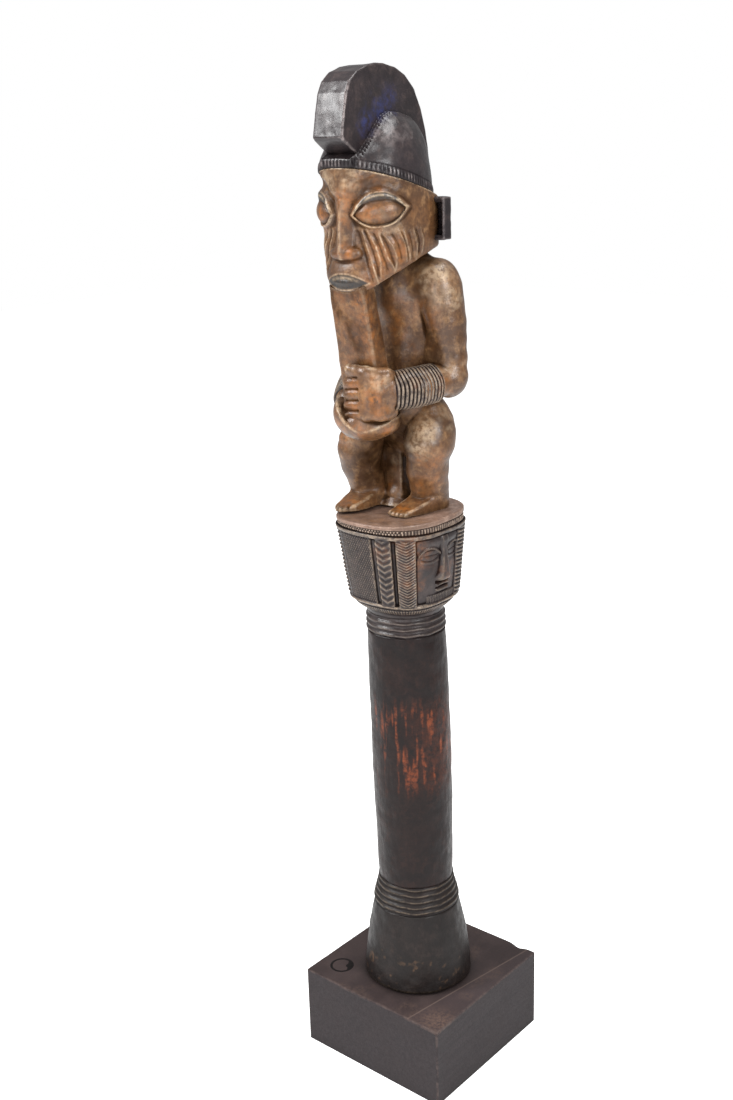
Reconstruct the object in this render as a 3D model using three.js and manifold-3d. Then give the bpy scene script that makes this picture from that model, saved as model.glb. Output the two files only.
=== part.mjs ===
// A carved wooden scepter on its display block, in millimetres, +Z up.
// The origin is the centre of the block's underside. The figure faces -Y, and its left side is +X.
import * as THREE from "three";
import { mergeVertices } from "three/addons/utils/BufferGeometryUtils.js";
import Module from "manifold-3d";

const wasm = await Module();
wasm.setup();

// Clearances that every piece shares
const seam = 0.3; // gap where two pieces of the carving meet
const boreClearance = 0.4; // radial gap round a tenon or the pin
const overrun = 1; // how far a cut runs past the face it opens
const weld = 0.0001; // vertices closer than this are one

// Facets
const roundSides = 36;
const trunkSides = 24;
const limbSides = 16;
const tenonSides = 16;
const ovalRows = 10;
const endRows = 2; // rings in the rounded end of a limb
const limbRows = 3; // rings between two stations of a limb
const sideways = new THREE.Vector3(1, 0, 0);

// The display block, its plug and the steel pin that holds the staff upright on it
const block = { side: 87, height: 43, edge: 0.5 };
const plug = { diameter: 13, depth: 10, x: -31, y: -29.5 };
const pin = { diameter: 8, intoBlock: 30, intoFoot: 24 };

// The staff: heights are above the block's top
const staff = { x: 0.4, y: -3.5, bowX: -3.4, bowY: -2.7 };
const tenon = { radius: 11.5, length: 12 };
const foot = { height: 42.5, baseRadius: 28.3, topRadius: 22, underEdge: 2.2, bulge: 0.9, rim: 1.4 };
const footBulgeShares = [0.25, 0.5, 0.75];
const lowerCollar = { height: 14.5, bottomRadius: 21.9, topRadius: 19.2, ridge: 0.55, ridges: 5 };
const ridgeShares = [[0, -1], [0.3, 1], [0.7, 1]]; // place within a ridge, and lift
const shaft = { height: 136, bottomRadius: 19, middleRadius: 20, topRadius: 19.2, rows: 6 };
const upperCollar = { height: 9.5, bottomRadius: 19.3, topRadius: 19, ridge: 0.6, ridges: 3 };
const capital = { height: 44.5, neckHalf: 18.7, ledgeHalf: 24.2, rimHalf: 28.4, flare: 7.5, ledge: 1.2 };
const capitalBand = { height: 2, relief: 0.7 };
const panel = { depth: 1.1, halfWidth: 17, margin: 3.2 };
const squareness = 2.75; // superellipse exponent of the capital and the plinth
const neckSquareness = 2.1;
const plinth = { thickness: 5, half: capital.rimHalf, edge: 0.8 };

// The figure's legs and post: heights are above the plinth's top
const post = { x: -7.2, y: 9.5, bottomRadius: 5.6, topRadius: 5.2, belowHips: 21.5 };
const postTenon = { radius: 4, intoCapital: 6, intoTorso: 10 };

const leg = { height: 52.5, middleX: -5, stance: 16.5, radius: 11 };
const stride = 8.5; // how far the right leg stands ahead of the left
const sole = { heelX: 14.5, heelY: 23, toeX: 12.5, toeY: -12.5, width: 13, height: 6 };

// The figure's body: heights are above the top of the legs, its hips
const torso = { bottom: -28.5, top: 70.5, halfWidth: 18, halfDepth: 12.5, y: 5, hipX: -4.5 };
const torsoSquareness = 2.3;
const neck = { radius: 8.5, y: 0, top: 77.5 };

const upperArm = { bottom: 4.5, top: 64.5, x: 24.5, y: 7.5, radius: 10.2 };
const leftForearm = [
  { x: 24.3, y: 6, z: 11.7, radius: 7.4 },
  { x: 20.5, y: -9, z: 10.3, radius: 8 },
  { x: 14, y: -24, z: 9.5, radius: 8 },
];
const rightForearm = [
  { x: 24, y: 5.5, z: 10, radius: 7.2 },
  { x: 18, y: -7.6, z: 5.9, radius: 7.1 },
  { x: 11, y: -19, z: 0, radius: 6.8 },
];
const bracelet = { startShare: 0.36, endShare: 0.96, wall: 1.3, rib: 0.5, ribs: 15 };
const upperHand = { x: 5.5, y: -26.6, z: 10, halfWidth: 12, halfDepth: 8, halfHeight: 12.4 };
const lowerHand = { x: -1.5, y: -21.2, z: -3, halfWidth: 13, halfDepth: 14.5, halfHeight: 9.6 };
const handSquareness = 2.6;

const beard = {
  halfWidth: 10.8,
  depth: 12,
  frontTopY: -34.2,
  frontBottomY: -27,
  top: 57.5,
  bottom: -5.5,
  bevel: 2.2,
};

const head = {
  halfWidth: 23.5,
  frontY: -37.6,
  backY: 12.5,
  chin: 51,
  jawSlope: 0.42,
  hairline: 106.3,
  hairSlope: 0.31,
  frontSquareness: 3.1,
  backSquareness: 2.45,
};
const nose = { top: 91.5, bottom: 66, rootY: -29, tipY: -36.5, halfWidth: 8.5 };
const eye = { x: 13, y: -25.5, z: 89.7, halfWidth: 13, halfHeight: 9.4, bulge: 7, turn: 0.66 };
const lips = { upperZ: 60.5, lowerZ: 56.3, halfWidth: 13, halfHeight: 3.3, y: -28, halfDepth: 7.4 };
const ear = { height: 18.5, depth: 8.5, rim: 3, y: -3, z: 83, stand: 5, root: 9 };

const hair = { frontY: -39.2, backY: 16, halfWidth: 24.6, domeHeight: 29, sink: 6 };
const crest = { frontY: -42.8, backY: 16.1, bottom: 108, top: 148.2, halfWidth: 8.4, bevel: 0.6 };

// The crest's side outline from the foot of its front, as shares of its length and height
const crestShares = [
  [0.2, 0], [0.163, 0.083], [0.02, 0.225], [0, 0.26], [0.031, 0.51], [0.06, 0.7],
  [0.104, 0.82], [0.19, 0.917], [0.298, 0.975], [0.4, 0.995], [0.488, 1], [0.622, 0.965],
  [0.733, 0.889], [0.842, 0.74], [0.921, 0.539], [0.964, 0.315], [0.991, 0.128], [1, 0],
];

// Colours, as the photograph shows them
const wood = {
  figure: 0x8a5f3c,
  dark: 0x40343a,
  capital: 0x4c3d35,
  shaft: 0x33282a,
  foot: 0x44392f,
  block: 0x453b3c,
};
const steel = 0x9a9a9c;
const satin = 0.4; // roughness of the polished wood and the pin
const matt = 0.5;

function finish(color, roughness, metalness = 0) {
  return new THREE.MeshStandardMaterial({ color, roughness, metalness });
}

// Solids made, joined and cut

function solidOf(geometry) {
  const bare = geometry.clone();
  bare.deleteAttribute("normal");
  bare.deleteAttribute("uv");
  const merged = mergeVertices(bare, weld);
  return new wasm.Manifold(
    new wasm.Mesh({
      numProp: 3,
      vertProperties: merged.attributes.position.array,
      triVerts: new Uint32Array(merged.index.array),
    }),
  );
}

function geometryOf(solid) {
  const mesh = solid.getMesh();
  const geometry = new THREE.BufferGeometry();
  geometry.setAttribute("position", new THREE.BufferAttribute(mesh.vertProperties, 3));
  geometry.setIndex(new THREE.BufferAttribute(mesh.triVerts, 1));
  geometry.computeVertexNormals();
  return geometry;
}

function joined(...geometries) {
  return geometryOf(geometries.map(solidOf).reduce((sum, each) => sum.add(each)));
}

function cut(geometry, ...tools) {
  return geometryOf(tools.map(solidOf).reduce((rest, tool) => rest.subtract(tool), solidOf(geometry)));
}

// A closed skin over rings of points, each ring counter-clockwise as seen from the last one's side
function loft(rings) {
  const sides = rings[0].length;
  const positions = rings.flat().flatMap((point) => [point.x, point.y, point.z]);
  const index = [];
  for (let row = 0; row + 1 < rings.length; row++) {
    for (let side = 0; side < sides; side++) {
      const here = row * sides + side;
      const next = row * sides + ((side + 1) % sides);
      index.push(here, next, next + sides);
      index.push(here, next + sides, here + sides);
    }
  }
  for (const last of [false, true]) {
    const ring = last ? rings[rings.length - 1] : rings[0];
    const start = last ? (rings.length - 1) * sides : 0;
    const middle = new THREE.Vector3();
    ring.forEach((point) => middle.addScaledVector(point, 1 / sides));
    const centre = positions.length / 3;
    positions.push(middle.x, middle.y, middle.z);
    for (let side = 0; side < sides; side++) {
      const here = start + side;
      const next = start + ((side + 1) % sides);
      index.push(...(last ? [here, next, centre] : [next, here, centre]));
    }
  }
  const geometry = new THREE.BufferGeometry();
  geometry.setAttribute("position", new THREE.Float32BufferAttribute(positions, 3));
  geometry.setIndex(index);
  geometry.computeVertexNormals();
  return geometry;
}

// A level superelliptic ring, whose front and back halves may differ in squareness
function levelRing({ x = 0, y = 0, z, halfX, halfY, front = 2, back = front, sides = roundSides }) {
  const ring = [];
  for (let side = 0; side < sides; side++) {
    const angle = (side / sides) * Math.PI * 2;
    const cosine = Math.cos(angle);
    const sine = Math.sin(angle);
    const power = 2 / (sine < 0 ? front : back);
    const across = Math.sign(cosine) * Math.abs(cosine) ** power;
    const along = Math.sign(sine) * Math.abs(sine) ** power;
    ring.push(new THREE.Vector3(x + halfX * across, y + halfY * along, z));
  }
  return ring;
}

// A round piece about the Z axis, from [radius, height] points that start and end on the axis
function turned(profile, sides = roundSides) {
  const points = profile.map(([radius, height]) => new THREE.Vector2(radius, height));
  return new THREE.LatheGeometry(points, sides).rotateX(Math.PI / 2);
}

function rod(radius, bottom, top, sides = tenonSides) {
  return turned([[0, bottom], [radius, bottom], [radius, top], [0, top]], sides);
}

// A tapering limb through stations that hold a place and a radius, its ends rounded or flat.
// Its rings keep one axis square to the sideways direction, and swell adds to the radius along it.
function limb(stations, { grow = 0, from = 0, to = 1, steps, round = true, swell = () => 0 }) {
  const places = stations.map((station) => new THREE.Vector3(station.x, station.y, station.z));
  const sizes = stations.map((station) => new THREE.Vector3(station.radius, 0, 0));
  const spine = new THREE.CatmullRomCurve3(places, false, "catmullrom");
  const thickness = new THREE.CatmullRomCurve3(sizes, false, "catmullrom");
  const ringAt = (share, lift, shrink) => {
    const tangent = spine.getTangent(share);
    const wide = sideways.clone().addScaledVector(tangent, -sideways.dot(tangent)).normalize();
    const deep = new THREE.Vector3().crossVectors(tangent, wide);
    const radius = thickness.getPoint(share).x + grow + swell((share - from) / (to - from));
    const centre = spine.getPoint(share).addScaledVector(tangent, lift * radius);
    const ring = [];
    for (let side = 0; side < limbSides; side++) {
      const angle = (side / limbSides) * Math.PI * 2;
      const point = centre.clone().addScaledVector(wide, Math.cos(angle) * radius * shrink);
      ring.push(point.addScaledVector(deep, Math.sin(angle) * radius * shrink));
    }
    return ring;
  };
  const rings = [];
  const bend = (step) => (step / (endRows + 1)) * (Math.PI / 2);
  for (let step = round ? endRows : 0; step > 0; step--) {
    rings.push(ringAt(from, -Math.sin(bend(step)), Math.cos(bend(step))));
  }
  for (let step = 0; step <= steps; step++) {
    rings.push(ringAt(from + ((to - from) * step) / steps, 0, 1));
  }
  for (let step = 1; step <= (round ? endRows : 0); step++) {
    rings.push(ringAt(to, Math.sin(bend(step)), Math.cos(bend(step))));
  }
  return loft(rings);
}

function oval(halfX, halfY, halfZ, sides = roundSides, rows = ovalRows) {
  return new THREE.SphereGeometry(1, sides, rows).rotateX(Math.PI / 2).scale(halfX, halfY, halfZ);
}

// A flat outline of [across, up] points pushed through a thickness along +Z
function slab(outline, thickness, bevel = 0) {
  const shape = new THREE.Shape(outline.map(([across, up]) => new THREE.Vector2(across, up)));
  return new THREE.ExtrudeGeometry(shape, {
    depth: thickness - bevel * 2,
    bevelEnabled: bevel > 0,
    bevelThickness: bevel,
    bevelSize: bevel,
    bevelOffset: -bevel,
    bevelSegments: 1,
  }).translate(0, 0, bevel);
}

function box(sizeX, sizeY, sizeZ) {
  return new THREE.BoxGeometry(sizeX, sizeY, sizeZ);
}

function mirrored(geometry) {
  const copy = geometry.clone().scale(-1, 1, 1);
  const turns = copy.index.array;
  for (let corner = 0; corner < turns.length; corner += 3) {
    [turns[corner + 1], turns[corner + 2]] = [turns[corner + 2], turns[corner + 1]];
  }
  return copy;
}

const scepter = new THREE.Group();

function piece(name, geometry, material, parent) {
  const mesh = new THREE.Mesh(geometry, material);
  mesh.name = name;
  parent.add(mesh);
  return mesh;
}

// Display block

const pinRadius = pin.diameter / 2;
const pinBore = pinRadius + boreClearance;
const plugRadius = plug.diameter / 2;
const mounting = new THREE.Group();
scepter.add(mounting);

function blockSolid() {
  const half = block.side / 2;
  const outline = [[-half, -half], [half, -half], [half, half], [-half, half]];
  const bore = rod(pinBore, block.height - pin.intoBlock - seam, block.height + overrun);
  const plugHole = rod(plugRadius + seam, block.height - plug.depth - seam, block.height + overrun);
  return cut(
    slab(outline, block.height, block.edge),
    bore.translate(staff.x, staff.y, 0),
    plugHole.translate(plug.x, plug.y, 0),
  );
}

piece("base_block", blockSolid(), finish(wood.block, satin), mounting);
const plugMesh = piece("base_plug", rod(plugRadius, -plug.depth, 0), finish(wood.dark, matt), mounting);
plugMesh.position.set(plug.x, plug.y, block.height);
const pinSolid = rod(pinRadius, -pin.intoBlock, pin.intoFoot);
const pinMesh = piece("mount_pin", pinSolid, finish(steel, satin, 1), mounting);
pinMesh.position.set(staff.x, staff.y, block.height);

// Staff: its pieces are stacked on one bowed axis, so each is made straight and then bowed alike

const collarBottom = foot.height;
const shaftBottom = collarBottom + lowerCollar.height;
const shaftTop = shaftBottom + shaft.height;
const capitalBottom = shaftTop + upperCollar.height;
const capitalTop = capitalBottom + capital.height;
const plinthTop = capitalTop + plinth.thickness;

const staffGroup = new THREE.Group();
staffGroup.position.set(staff.x, staff.y, block.height);
scepter.add(staffGroup);

function bowAt(height) {
  const share = (height / plinthTop) ** 2;
  return { x: staff.bowX * share, y: staff.bowY * share };
}

function bowed(geometry) {
  const positions = geometry.attributes.position;
  for (let corner = 0; corner < positions.count; corner++) {
    const shift = bowAt(positions.getZ(corner));
    positions.setX(corner, positions.getX(corner) + shift.x);
    positions.setY(corner, positions.getY(corner) + shift.y);
  }
  return geometry;
}

const tenonBore = tenon.radius + boreClearance;

function footSolid() {
  const boreTop = pin.intoFoot + boreClearance;
  const socketFloor = foot.height - tenon.length - seam;
  const taper = foot.baseRadius - foot.topRadius;
  const profile = [
    [0, boreTop],
    [pinBore, boreTop],
    [pinBore, seam],
    [foot.baseRadius - foot.underEdge, seam],
    [foot.baseRadius, foot.underEdge + seam],
  ];
  for (const share of footBulgeShares) {
    const radius = foot.baseRadius - taper * share + foot.bulge * Math.sin(share * Math.PI);
    profile.push([radius, share * foot.height]);
  }
  profile.push([foot.topRadius, foot.height - foot.rim]);
  profile.push([foot.topRadius - seam, foot.height - seam]);
  profile.push([tenonBore, foot.height - seam], [tenonBore, socketFloor], [0, socketFloor]);
  return bowed(turned(profile));
}

// A sleeve of rounded ridges round the shaft's tenon, its outside sloping from bottom to top
function ridgedSleeve(bottom, { height, bottomRadius, topRadius, ridge, ridges }) {
  const profile = [[tenonBore, bottom]];
  const radiusAt = (share) => bottomRadius + (topRadius - bottomRadius) * Math.sin((share * Math.PI) / 2);
  const pitchShare = 1 / ridges;
  for (let count = 0; count < ridges; count++) {
    for (const [withinShare, liftShare] of ridgeShares) {
      const share = (count + withinShare) * pitchShare;
      profile.push([radiusAt(share) + (ridge / 2) * liftShare, bottom + share * (height - seam)]);
    }
  }
  profile.push([topRadius - ridge / 2, bottom + height - seam]);
  profile.push([tenonBore, bottom + height - seam], [tenonBore, bottom]);
  return bowed(turned(profile));
}

function shaftSolid() {
  const low = shaftBottom - lowerCollar.height - tenon.length;
  const high = shaftTop + upperCollar.height + tenon.length;
  const profile = [[0, low], [tenon.radius, low], [tenon.radius, shaftBottom]];
  for (let row = 0; row <= shaft.rows; row++) {
    const share = row / shaft.rows;
    const swell = Math.sin(share * Math.PI);
    const straight = shaft.bottomRadius + (shaft.topRadius - shaft.bottomRadius) * share;
    const middle = (shaft.bottomRadius + shaft.topRadius) / 2;
    const height = shaftBottom + share * (shaft.height - seam);
    profile.push([straight + (shaft.middleRadius - middle) * swell, height]);
  }
  profile.push([tenon.radius, shaftTop - seam], [tenon.radius, high], [0, high]);
  return bowed(turned(profile));
}

function squareRing(half, height) {
  return levelRing({ z: height, halfX: half, halfY: half, front: squareness });
}

// The capital's neck is round, its ledge and rim square with rounded corners
function capitalSolid() {
  const ledgeTop = capitalBottom + capital.flare;
  const bandBottom = capitalTop - capitalBand.height;
  const neckRing = { halfX: capital.neckHalf, halfY: capital.neckHalf };
  const rings = [
    levelRing({ ...neckRing, z: capitalBottom }),
    levelRing({ ...neckRing, z: capitalBottom + capital.ledge, front: neckSquareness }),
    squareRing(capital.ledgeHalf, ledgeTop),
    squareRing(capital.ledgeHalf + (capital.rimHalf - capital.ledgeHalf) / 2, (ledgeTop + bandBottom) / 2),
    squareRing(capital.rimHalf - capitalBand.relief, bandBottom),
    squareRing(capital.rimHalf, bandBottom + capitalBand.relief),
    squareRing(capital.rimHalf, capitalTop - seam),
  ];
  const socket = rod(tenonBore, capitalBottom - overrun, capitalBottom + tenon.length + seam);
  const socketFloor = capitalTop - postTenon.intoCapital - seam;
  const postSocket = rod(postTenon.radius + boreClearance, socketFloor, capitalTop + overrun);
  const panelBottom = ledgeTop + panel.margin;
  const panelTop = bandBottom - panel.margin / 2;
  const panelHeight = panelTop - panelBottom;
  const lean = Math.atan2(capital.rimHalf - capital.ledgeHalf, bandBottom - ledgeTop);
  const panelCut = box(panel.halfWidth * 2, panel.depth * 2, panelHeight);
  const wallHalf = (capital.ledgeHalf + capital.rimHalf) / 2;
  const panels = [1, -1].map((sign) =>
    panelCut.clone()
      .rotateX(lean)
      .translate(0, -wallHalf, (panelBottom + panelTop) / 2)
      .rotateZ((sign * Math.PI) / 2),
  );
  const solid = cut(loft(rings), socket, postSocket.translate(post.x, post.y, 0), ...panels);
  return bowed(solid);
}

function plinthSolid() {
  const rings = [
    squareRing(plinth.half - plinth.edge, 0),
    squareRing(plinth.half, plinth.edge),
    squareRing(plinth.half, plinth.thickness - plinth.edge),
    squareRing(plinth.half - plinth.edge, plinth.thickness),
  ];
  const hole = rod(postTenon.radius + boreClearance, -overrun, plinth.thickness + overrun);
  return cut(loft(rings), hole.translate(post.x, post.y, 0));
}

piece("foot", footSolid(), finish(wood.foot, matt), staffGroup);
piece("lower_collar", ridgedSleeve(collarBottom, lowerCollar), finish(wood.foot, satin), staffGroup);
piece("shaft", shaftSolid(), finish(wood.shaft, satin), staffGroup);
piece("upper_collar", ridgedSleeve(shaftTop, upperCollar), finish(wood.shaft, satin), staffGroup);
piece("capital", capitalSolid(), finish(wood.capital, matt), staffGroup);

// Figure: its frame starts at the plinth's top, and its body's frame at the top of its legs

const figure = new THREE.Group();
figure.position.set(bowAt(plinthTop).x, bowAt(plinthTop).y, plinthTop);
staffGroup.add(figure);
const body = new THREE.Group();
body.position.z = leg.height;
figure.add(body);

const postTop = leg.height - post.belowHips;

function postSolid() {
  return turned([
    [0, -plinth.thickness - postTenon.intoCapital + seam],
    [postTenon.radius, -plinth.thickness - postTenon.intoCapital + seam],
    [postTenon.radius, seam],
    [post.bottomRadius, seam],
    [post.topRadius, postTop],
    [postTenon.radius, postTop],
    [postTenon.radius, postTop + postTenon.intoTorso],
    [0, postTop + postTenon.intoTorso],
  ], tenonSides).translate(post.x, post.y, 0);
}

function postSocketSolid() {
  const wide = rod(post.topRadius + seam, 0, postTop + seam);
  const narrow = rod(postTenon.radius + boreClearance, 0, postTop + postTenon.intoTorso + seam);
  return joined(wide, narrow).translate(post.x, post.y, 0);
}

// A round column of level rings, as shares of its own sizes: height, x, y and radius
function column(stationShares, { bottom = 0, height, x, y, radius, grow = 0 }) {
  const last = stationShares.length - 1;
  const rings = stationShares.map(([up, across, along, size], station) => {
    const stretch = station === 0 ? -grow : station === last ? grow : 0;
    const half = size * radius + grow;
    return levelRing({
      x: across * x,
      y: along * y,
      z: bottom + up * height + stretch,
      halfX: half,
      halfY: half,
      sides: limbSides,
    });
  });
  return loft(rings);
}

// A leg on the +X side from the sole up: ankle, shin, knee, thigh and seat, its y in leg radii
const legShares = [
  [0, 0.91, 1.14, 0.75],
  [0.1, 0.91, 1.14, 0.75],
  [0.23, 0.98, 0.95, 0.82],
  [0.38, 1.03, 0.73, 0.9],
  [0.51, 1.05, 0.6, 0.96],
  [0.63, 1.03, 0.66, 1],
  [0.72, 1.02, 0.9, 1.06],
  [0.82, 1.02, 1.1, 1.02],
  [0.91, 1.02, 1.26, 0.82],
  [0.97, 1.02, 1.3, 0.55],
  [1, 1.02, 1.3, 0.28],
];

function legColumn(grow = 0) {
  return column(legShares, { height: leg.height, x: leg.stance, y: leg.radius, radius: leg.radius, grow });
}

// Foot sections: place from heel to toes, width and height, as shares of the foot's own sizes
const footShares = [
  [0, 0.6, 0.7],
  [0.1, 0.85, 1],
  [0.5, 0.92, 1],
  [0.8, 1, 0.65],
  [0.96, 0.9, 0.5],
  [1, 0.6, 0.3],
];

function footOf() {
  const rings = footShares.map(([along, wide, high]) => {
    const ring = [];
    for (let side = 0; side < limbSides; side++) {
      const angle = (side / limbSides) * Math.PI * 2;
      const x = sole.heelX + (sole.toeX - sole.heelX) * along + (Math.cos(angle) * wide * sole.width) / 2;
      const y = sole.heelY + (sole.toeY - sole.heelY) * along;
      ring.push(new THREE.Vector3(x, y, seam + Math.max(0, Math.sin(angle)) * high * sole.height));
    }
    return ring;
  });
  return loft(rings);
}

// The legs stand on both sides of their own middle, the right one a stride ahead
function leftSide(geometry) {
  return geometry.translate(leg.middleX, 0, 0);
}

function rightSide(geometry) {
  return mirrored(geometry).translate(leg.middleX, -stride, 0);
}

function legSolid() {
  const reach = leg.height * 2;
  const floor = box(reach, reach, reach).translate(sole.heelX, 0, seam - reach / 2);
  return cut(joined(legColumn(), footOf()), floor);
}

// The upper arm on the +X side, from the elbow's underside to the shoulder's top
const upperArmShares = [
  [0, 0.95, 0.9, 0.25],
  [0.03, 0.97, 0.95, 0.48],
  [0.08, 0.99, 1, 0.66],
  [0.14, 1, 1.05, 0.73],
  [0.28, 1.01, 1.15, 0.71],
  [0.42, 0.98, 1.05, 0.78],
  [0.55, 0.94, 0.95, 0.88],
  [0.68, 0.88, 0.85, 0.97],
  [0.8, 0.83, 0.8, 1],
  [0.89, 0.79, 0.8, 0.92],
  [0.95, 0.75, 0.8, 0.7],
  [1, 0.72, 0.8, 0.35],
];

function armTube(forearm, grow = 0) {
  const height = upperArm.top - upperArm.bottom;
  const upper = column(upperArmShares, { ...upperArm, height, grow });
  return joined(upper, limb(forearm, { grow, steps: limbRows * 2 }));
}

// A ribbed sleeve round the forearm, which starts after the elbow and ends at the hand
function braceletSolid(forearm, hand) {
  const valley = (share) => (1 + Math.cos(share * bracelet.ribs * Math.PI * 2)) / 2;
  const sleeve = limb(forearm, {
    grow: seam,
    from: bracelet.startShare,
    to: bracelet.endShare,
    steps: bracelet.ribs * 2,
    round: false,
    swell: (share) => bracelet.wall - bracelet.rib * valley(share),
  });
  return cut(sleeve, armTube(forearm, seam), handSolid(hand, seam), beardSolid(seam));
}

// Room for an arm and its sleeve in the trunk
function armRoom(forearm) {
  const sleeve = limb(forearm, { grow: bracelet.wall + seam * 2, steps: limbRows * 2, round: false });
  return joined(armTube(forearm, seam), sleeve);
}

// A closed hand as a rounded block, from rings of half height, and width as a share of the hand's
const handShares = [[-1, 0.6], [-0.9, 0.84], [-0.65, 0.96], [0, 1], [0.65, 0.96], [0.9, 0.84], [1, 0.6]];

function handSolid(hand, grow = 0) {
  const rings = handShares.map(([up, wide]) =>
    levelRing({
      z: up * (hand.halfHeight + grow),
      halfX: wide * hand.halfWidth + grow,
      halfY: wide * hand.halfDepth + grow,
      front: handSquareness,
      sides: limbSides,
    }),
  );
  return loft(rings).translate(hand.x, hand.y, hand.z);
}

// The beard is a tapering bar that leans a little, with bevelled long edges
function beardSolid(grow = 0) {
  const ringAt = (frontY, z) => {
    const half = beard.halfWidth + grow;
    const front = frontY - grow;
    const back = frontY + beard.depth + grow;
    const bevel = beard.bevel;
    const corners = [
      [half, front + bevel], [half, back - bevel], [half - bevel, back], [-half + bevel, back],
      [-half, back - bevel], [-half, front + bevel], [-half + bevel, front], [half - bevel, front],
    ];
    return corners.map(([x, y]) => new THREE.Vector3(x, y, z));
  };
  return loft([ringAt(beard.frontBottomY, beard.bottom - grow), ringAt(beard.frontTopY, beard.top + grow)]);
}

// Trunk stations: height, half width, half depth, place in y and part of the hips' shift to one side
const torsoShares = [
  [0, 0.4, 0.55, 0.2, 1],
  [0.07, 0.8, 0.95, 0.15, 1],
  [0.16, 1, 1.08, 0.1, 1],
  [0.28, 0.88, 1, 0, 0.6],
  [0.44, 0.85, 0.98, -0.05, 0.2],
  [0.6, 0.95, 1, 0, 0],
  [0.76, 1.08, 1, 0.1, 0],
  [0.87, 1.1, 0.95, 0.15, 0],
  [0.94, 0.9, 0.85, 0.2, 0],
  [1, 0.66, 0.72, 0.2, 0],
];

function neckColumn(grow = 0) {
  const root = torso.top - torso.halfWidth;
  return rod(neck.radius + grow, root, neck.top + grow, limbSides).translate(0, neck.y, 0);
}

function torsoSolid() {
  const height = torso.top - torso.bottom;
  const rings = torsoShares.map(([up, wide, deep, back, aside]) =>
    levelRing({
      z: torso.bottom + up * height,
      x: aside * torso.hipX,
      y: torso.y + back * torso.halfDepth,
      halfX: wide * torso.halfWidth,
      halfY: deep * torso.halfDepth,
      front: torsoSquareness,
      sides: trunkSides,
    }),
  );
  const trunk = cut(loft(rings), headBlock(seam));
  const hipsDown = -leg.height;
  return cut(
    joined(trunk, neckColumn()),
    leftSide(legColumn(seam)).translate(0, 0, hipsDown),
    rightSide(legColumn(seam)).translate(0, 0, hipsDown),
    postSocketSolid().translate(0, 0, hipsDown),
    armRoom(leftForearm),
    handSolid(upperHand, seam),
    mirrored(armRoom(rightForearm)),
    handSolid(lowerHand, seam),
    beardSolid(seam),
  );
}

// A half space over or under a plane that slopes along y, as a large box with one face on the plane
function halfSpace({ y = 0, z, rise, above, reach = leg.height * 3 }) {
  const side = above ? 1 : -1;
  return box(reach, reach, reach)
    .translate(0, 0, (side * reach) / 2)
    .rotateX(Math.atan(rise))
    .translate(0, y, z);
}

const hairPlane = { y: head.frontY, z: head.hairline, rise: -head.hairSlope };
const jawPlane = { y: head.frontY, z: head.chin, rise: head.jawSlope };

// Head stations as shares: height, half width, how far front and back draw in, and squareness of the front
const headShares = [
  [0, 0.62, 0.06, 0.2, 0.62],
  [0.12, 0.8, 0.07, 0.1, 0.68],
  [0.24, 0.92, 0.08, 0.03, 0.74],
  [0.38, 0.98, 0.09, 0, 0.8],
  [0.55, 1, 0.1, 0, 0.86],
  [0.7, 1, 0.07, 0, 0.86],
  [0.82, 0.99, 0.01, 0, 0.78],
  [1, 0.94, 0, 0.01, 0.72],
];

function headBlock(grow = 0) {
  const depth = head.backY - head.frontY;
  const bottom = head.chin - grow;
  const rings = headShares.map(([up, wide, frontIn, backIn, square]) => {
    const front = head.frontY + frontIn * depth;
    const back = head.backY - backIn * depth;
    return levelRing({
      z: bottom + up * (head.hairline - bottom),
      y: (front + back) / 2,
      halfX: wide * head.halfWidth + grow,
      halfY: (back - front) / 2 + grow,
      front: square * head.frontSquareness,
      back: head.backSquareness,
    });
  });
  return cut(loft(rings), halfSpace({ ...jawPlane, z: jawPlane.z - grow, above: false }));
}

// Nose sections from base to bridge, as shares of its height, half width and depth
const noseShares = [[0, 0.8, 0.7], [0.12, 1, 1], [0.28, 0.8, 0.9], [0.65, 0.42, 0.6], [1, 0.3, 0.45]];

function noseSolid() {
  const rings = noseShares.map(([up, wide, deep]) =>
    levelRing({
      z: nose.bottom + up * (nose.top - nose.bottom),
      y: nose.rootY,
      halfX: wide * nose.halfWidth,
      halfY: deep * (nose.rootY - nose.tipY),
      sides: limbSides,
    }),
  );
  return loft(rings);
}

function eyeball() {
  return oval(eye.halfWidth, eye.bulge, eye.halfHeight, limbSides)
    .rotateZ(eye.turn)
    .translate(eye.x, eye.y, eye.z);
}

function lip(z, grow = 0) {
  const lipOval = oval(lips.halfWidth + grow, lips.halfDepth + grow, lips.halfHeight + grow, limbSides);
  return lipOval.translate(0, lips.y, z);
}

// The head's outside, with the lips, which is also what the beard is cut by
function headWithLips(grow = 0) {
  return joined(headBlock(grow), lip(lips.upperZ, grow), lip(lips.lowerZ, grow));
}

function headSolid() {
  const carved = joined(headWithLips(), noseSolid(), eyeball(), mirrored(eyeball()));
  return cut(carved, halfSpace({ ...hairPlane, above: true }), neckColumn(seam));
}

// An ear is a C-shaped block whose hollow faces forward, set into the side of the head
function earSolid() {
  const half = ear.height / 2;
  const inner = half - ear.rim;
  const outline = [
    [0, -half], [ear.depth, -half], [ear.depth, half], [0, half],
    [0, inner], [ear.depth - ear.rim, inner], [ear.depth - ear.rim, -inner], [0, -inner],
  ];
  const block = slab(outline, ear.root + ear.stand)
    .rotateX(Math.PI / 2)
    .rotateZ(Math.PI / 2)
    .translate(head.halfWidth - ear.root, ear.y, ear.z);
  return cut(block, headBlock(seam));
}

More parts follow.
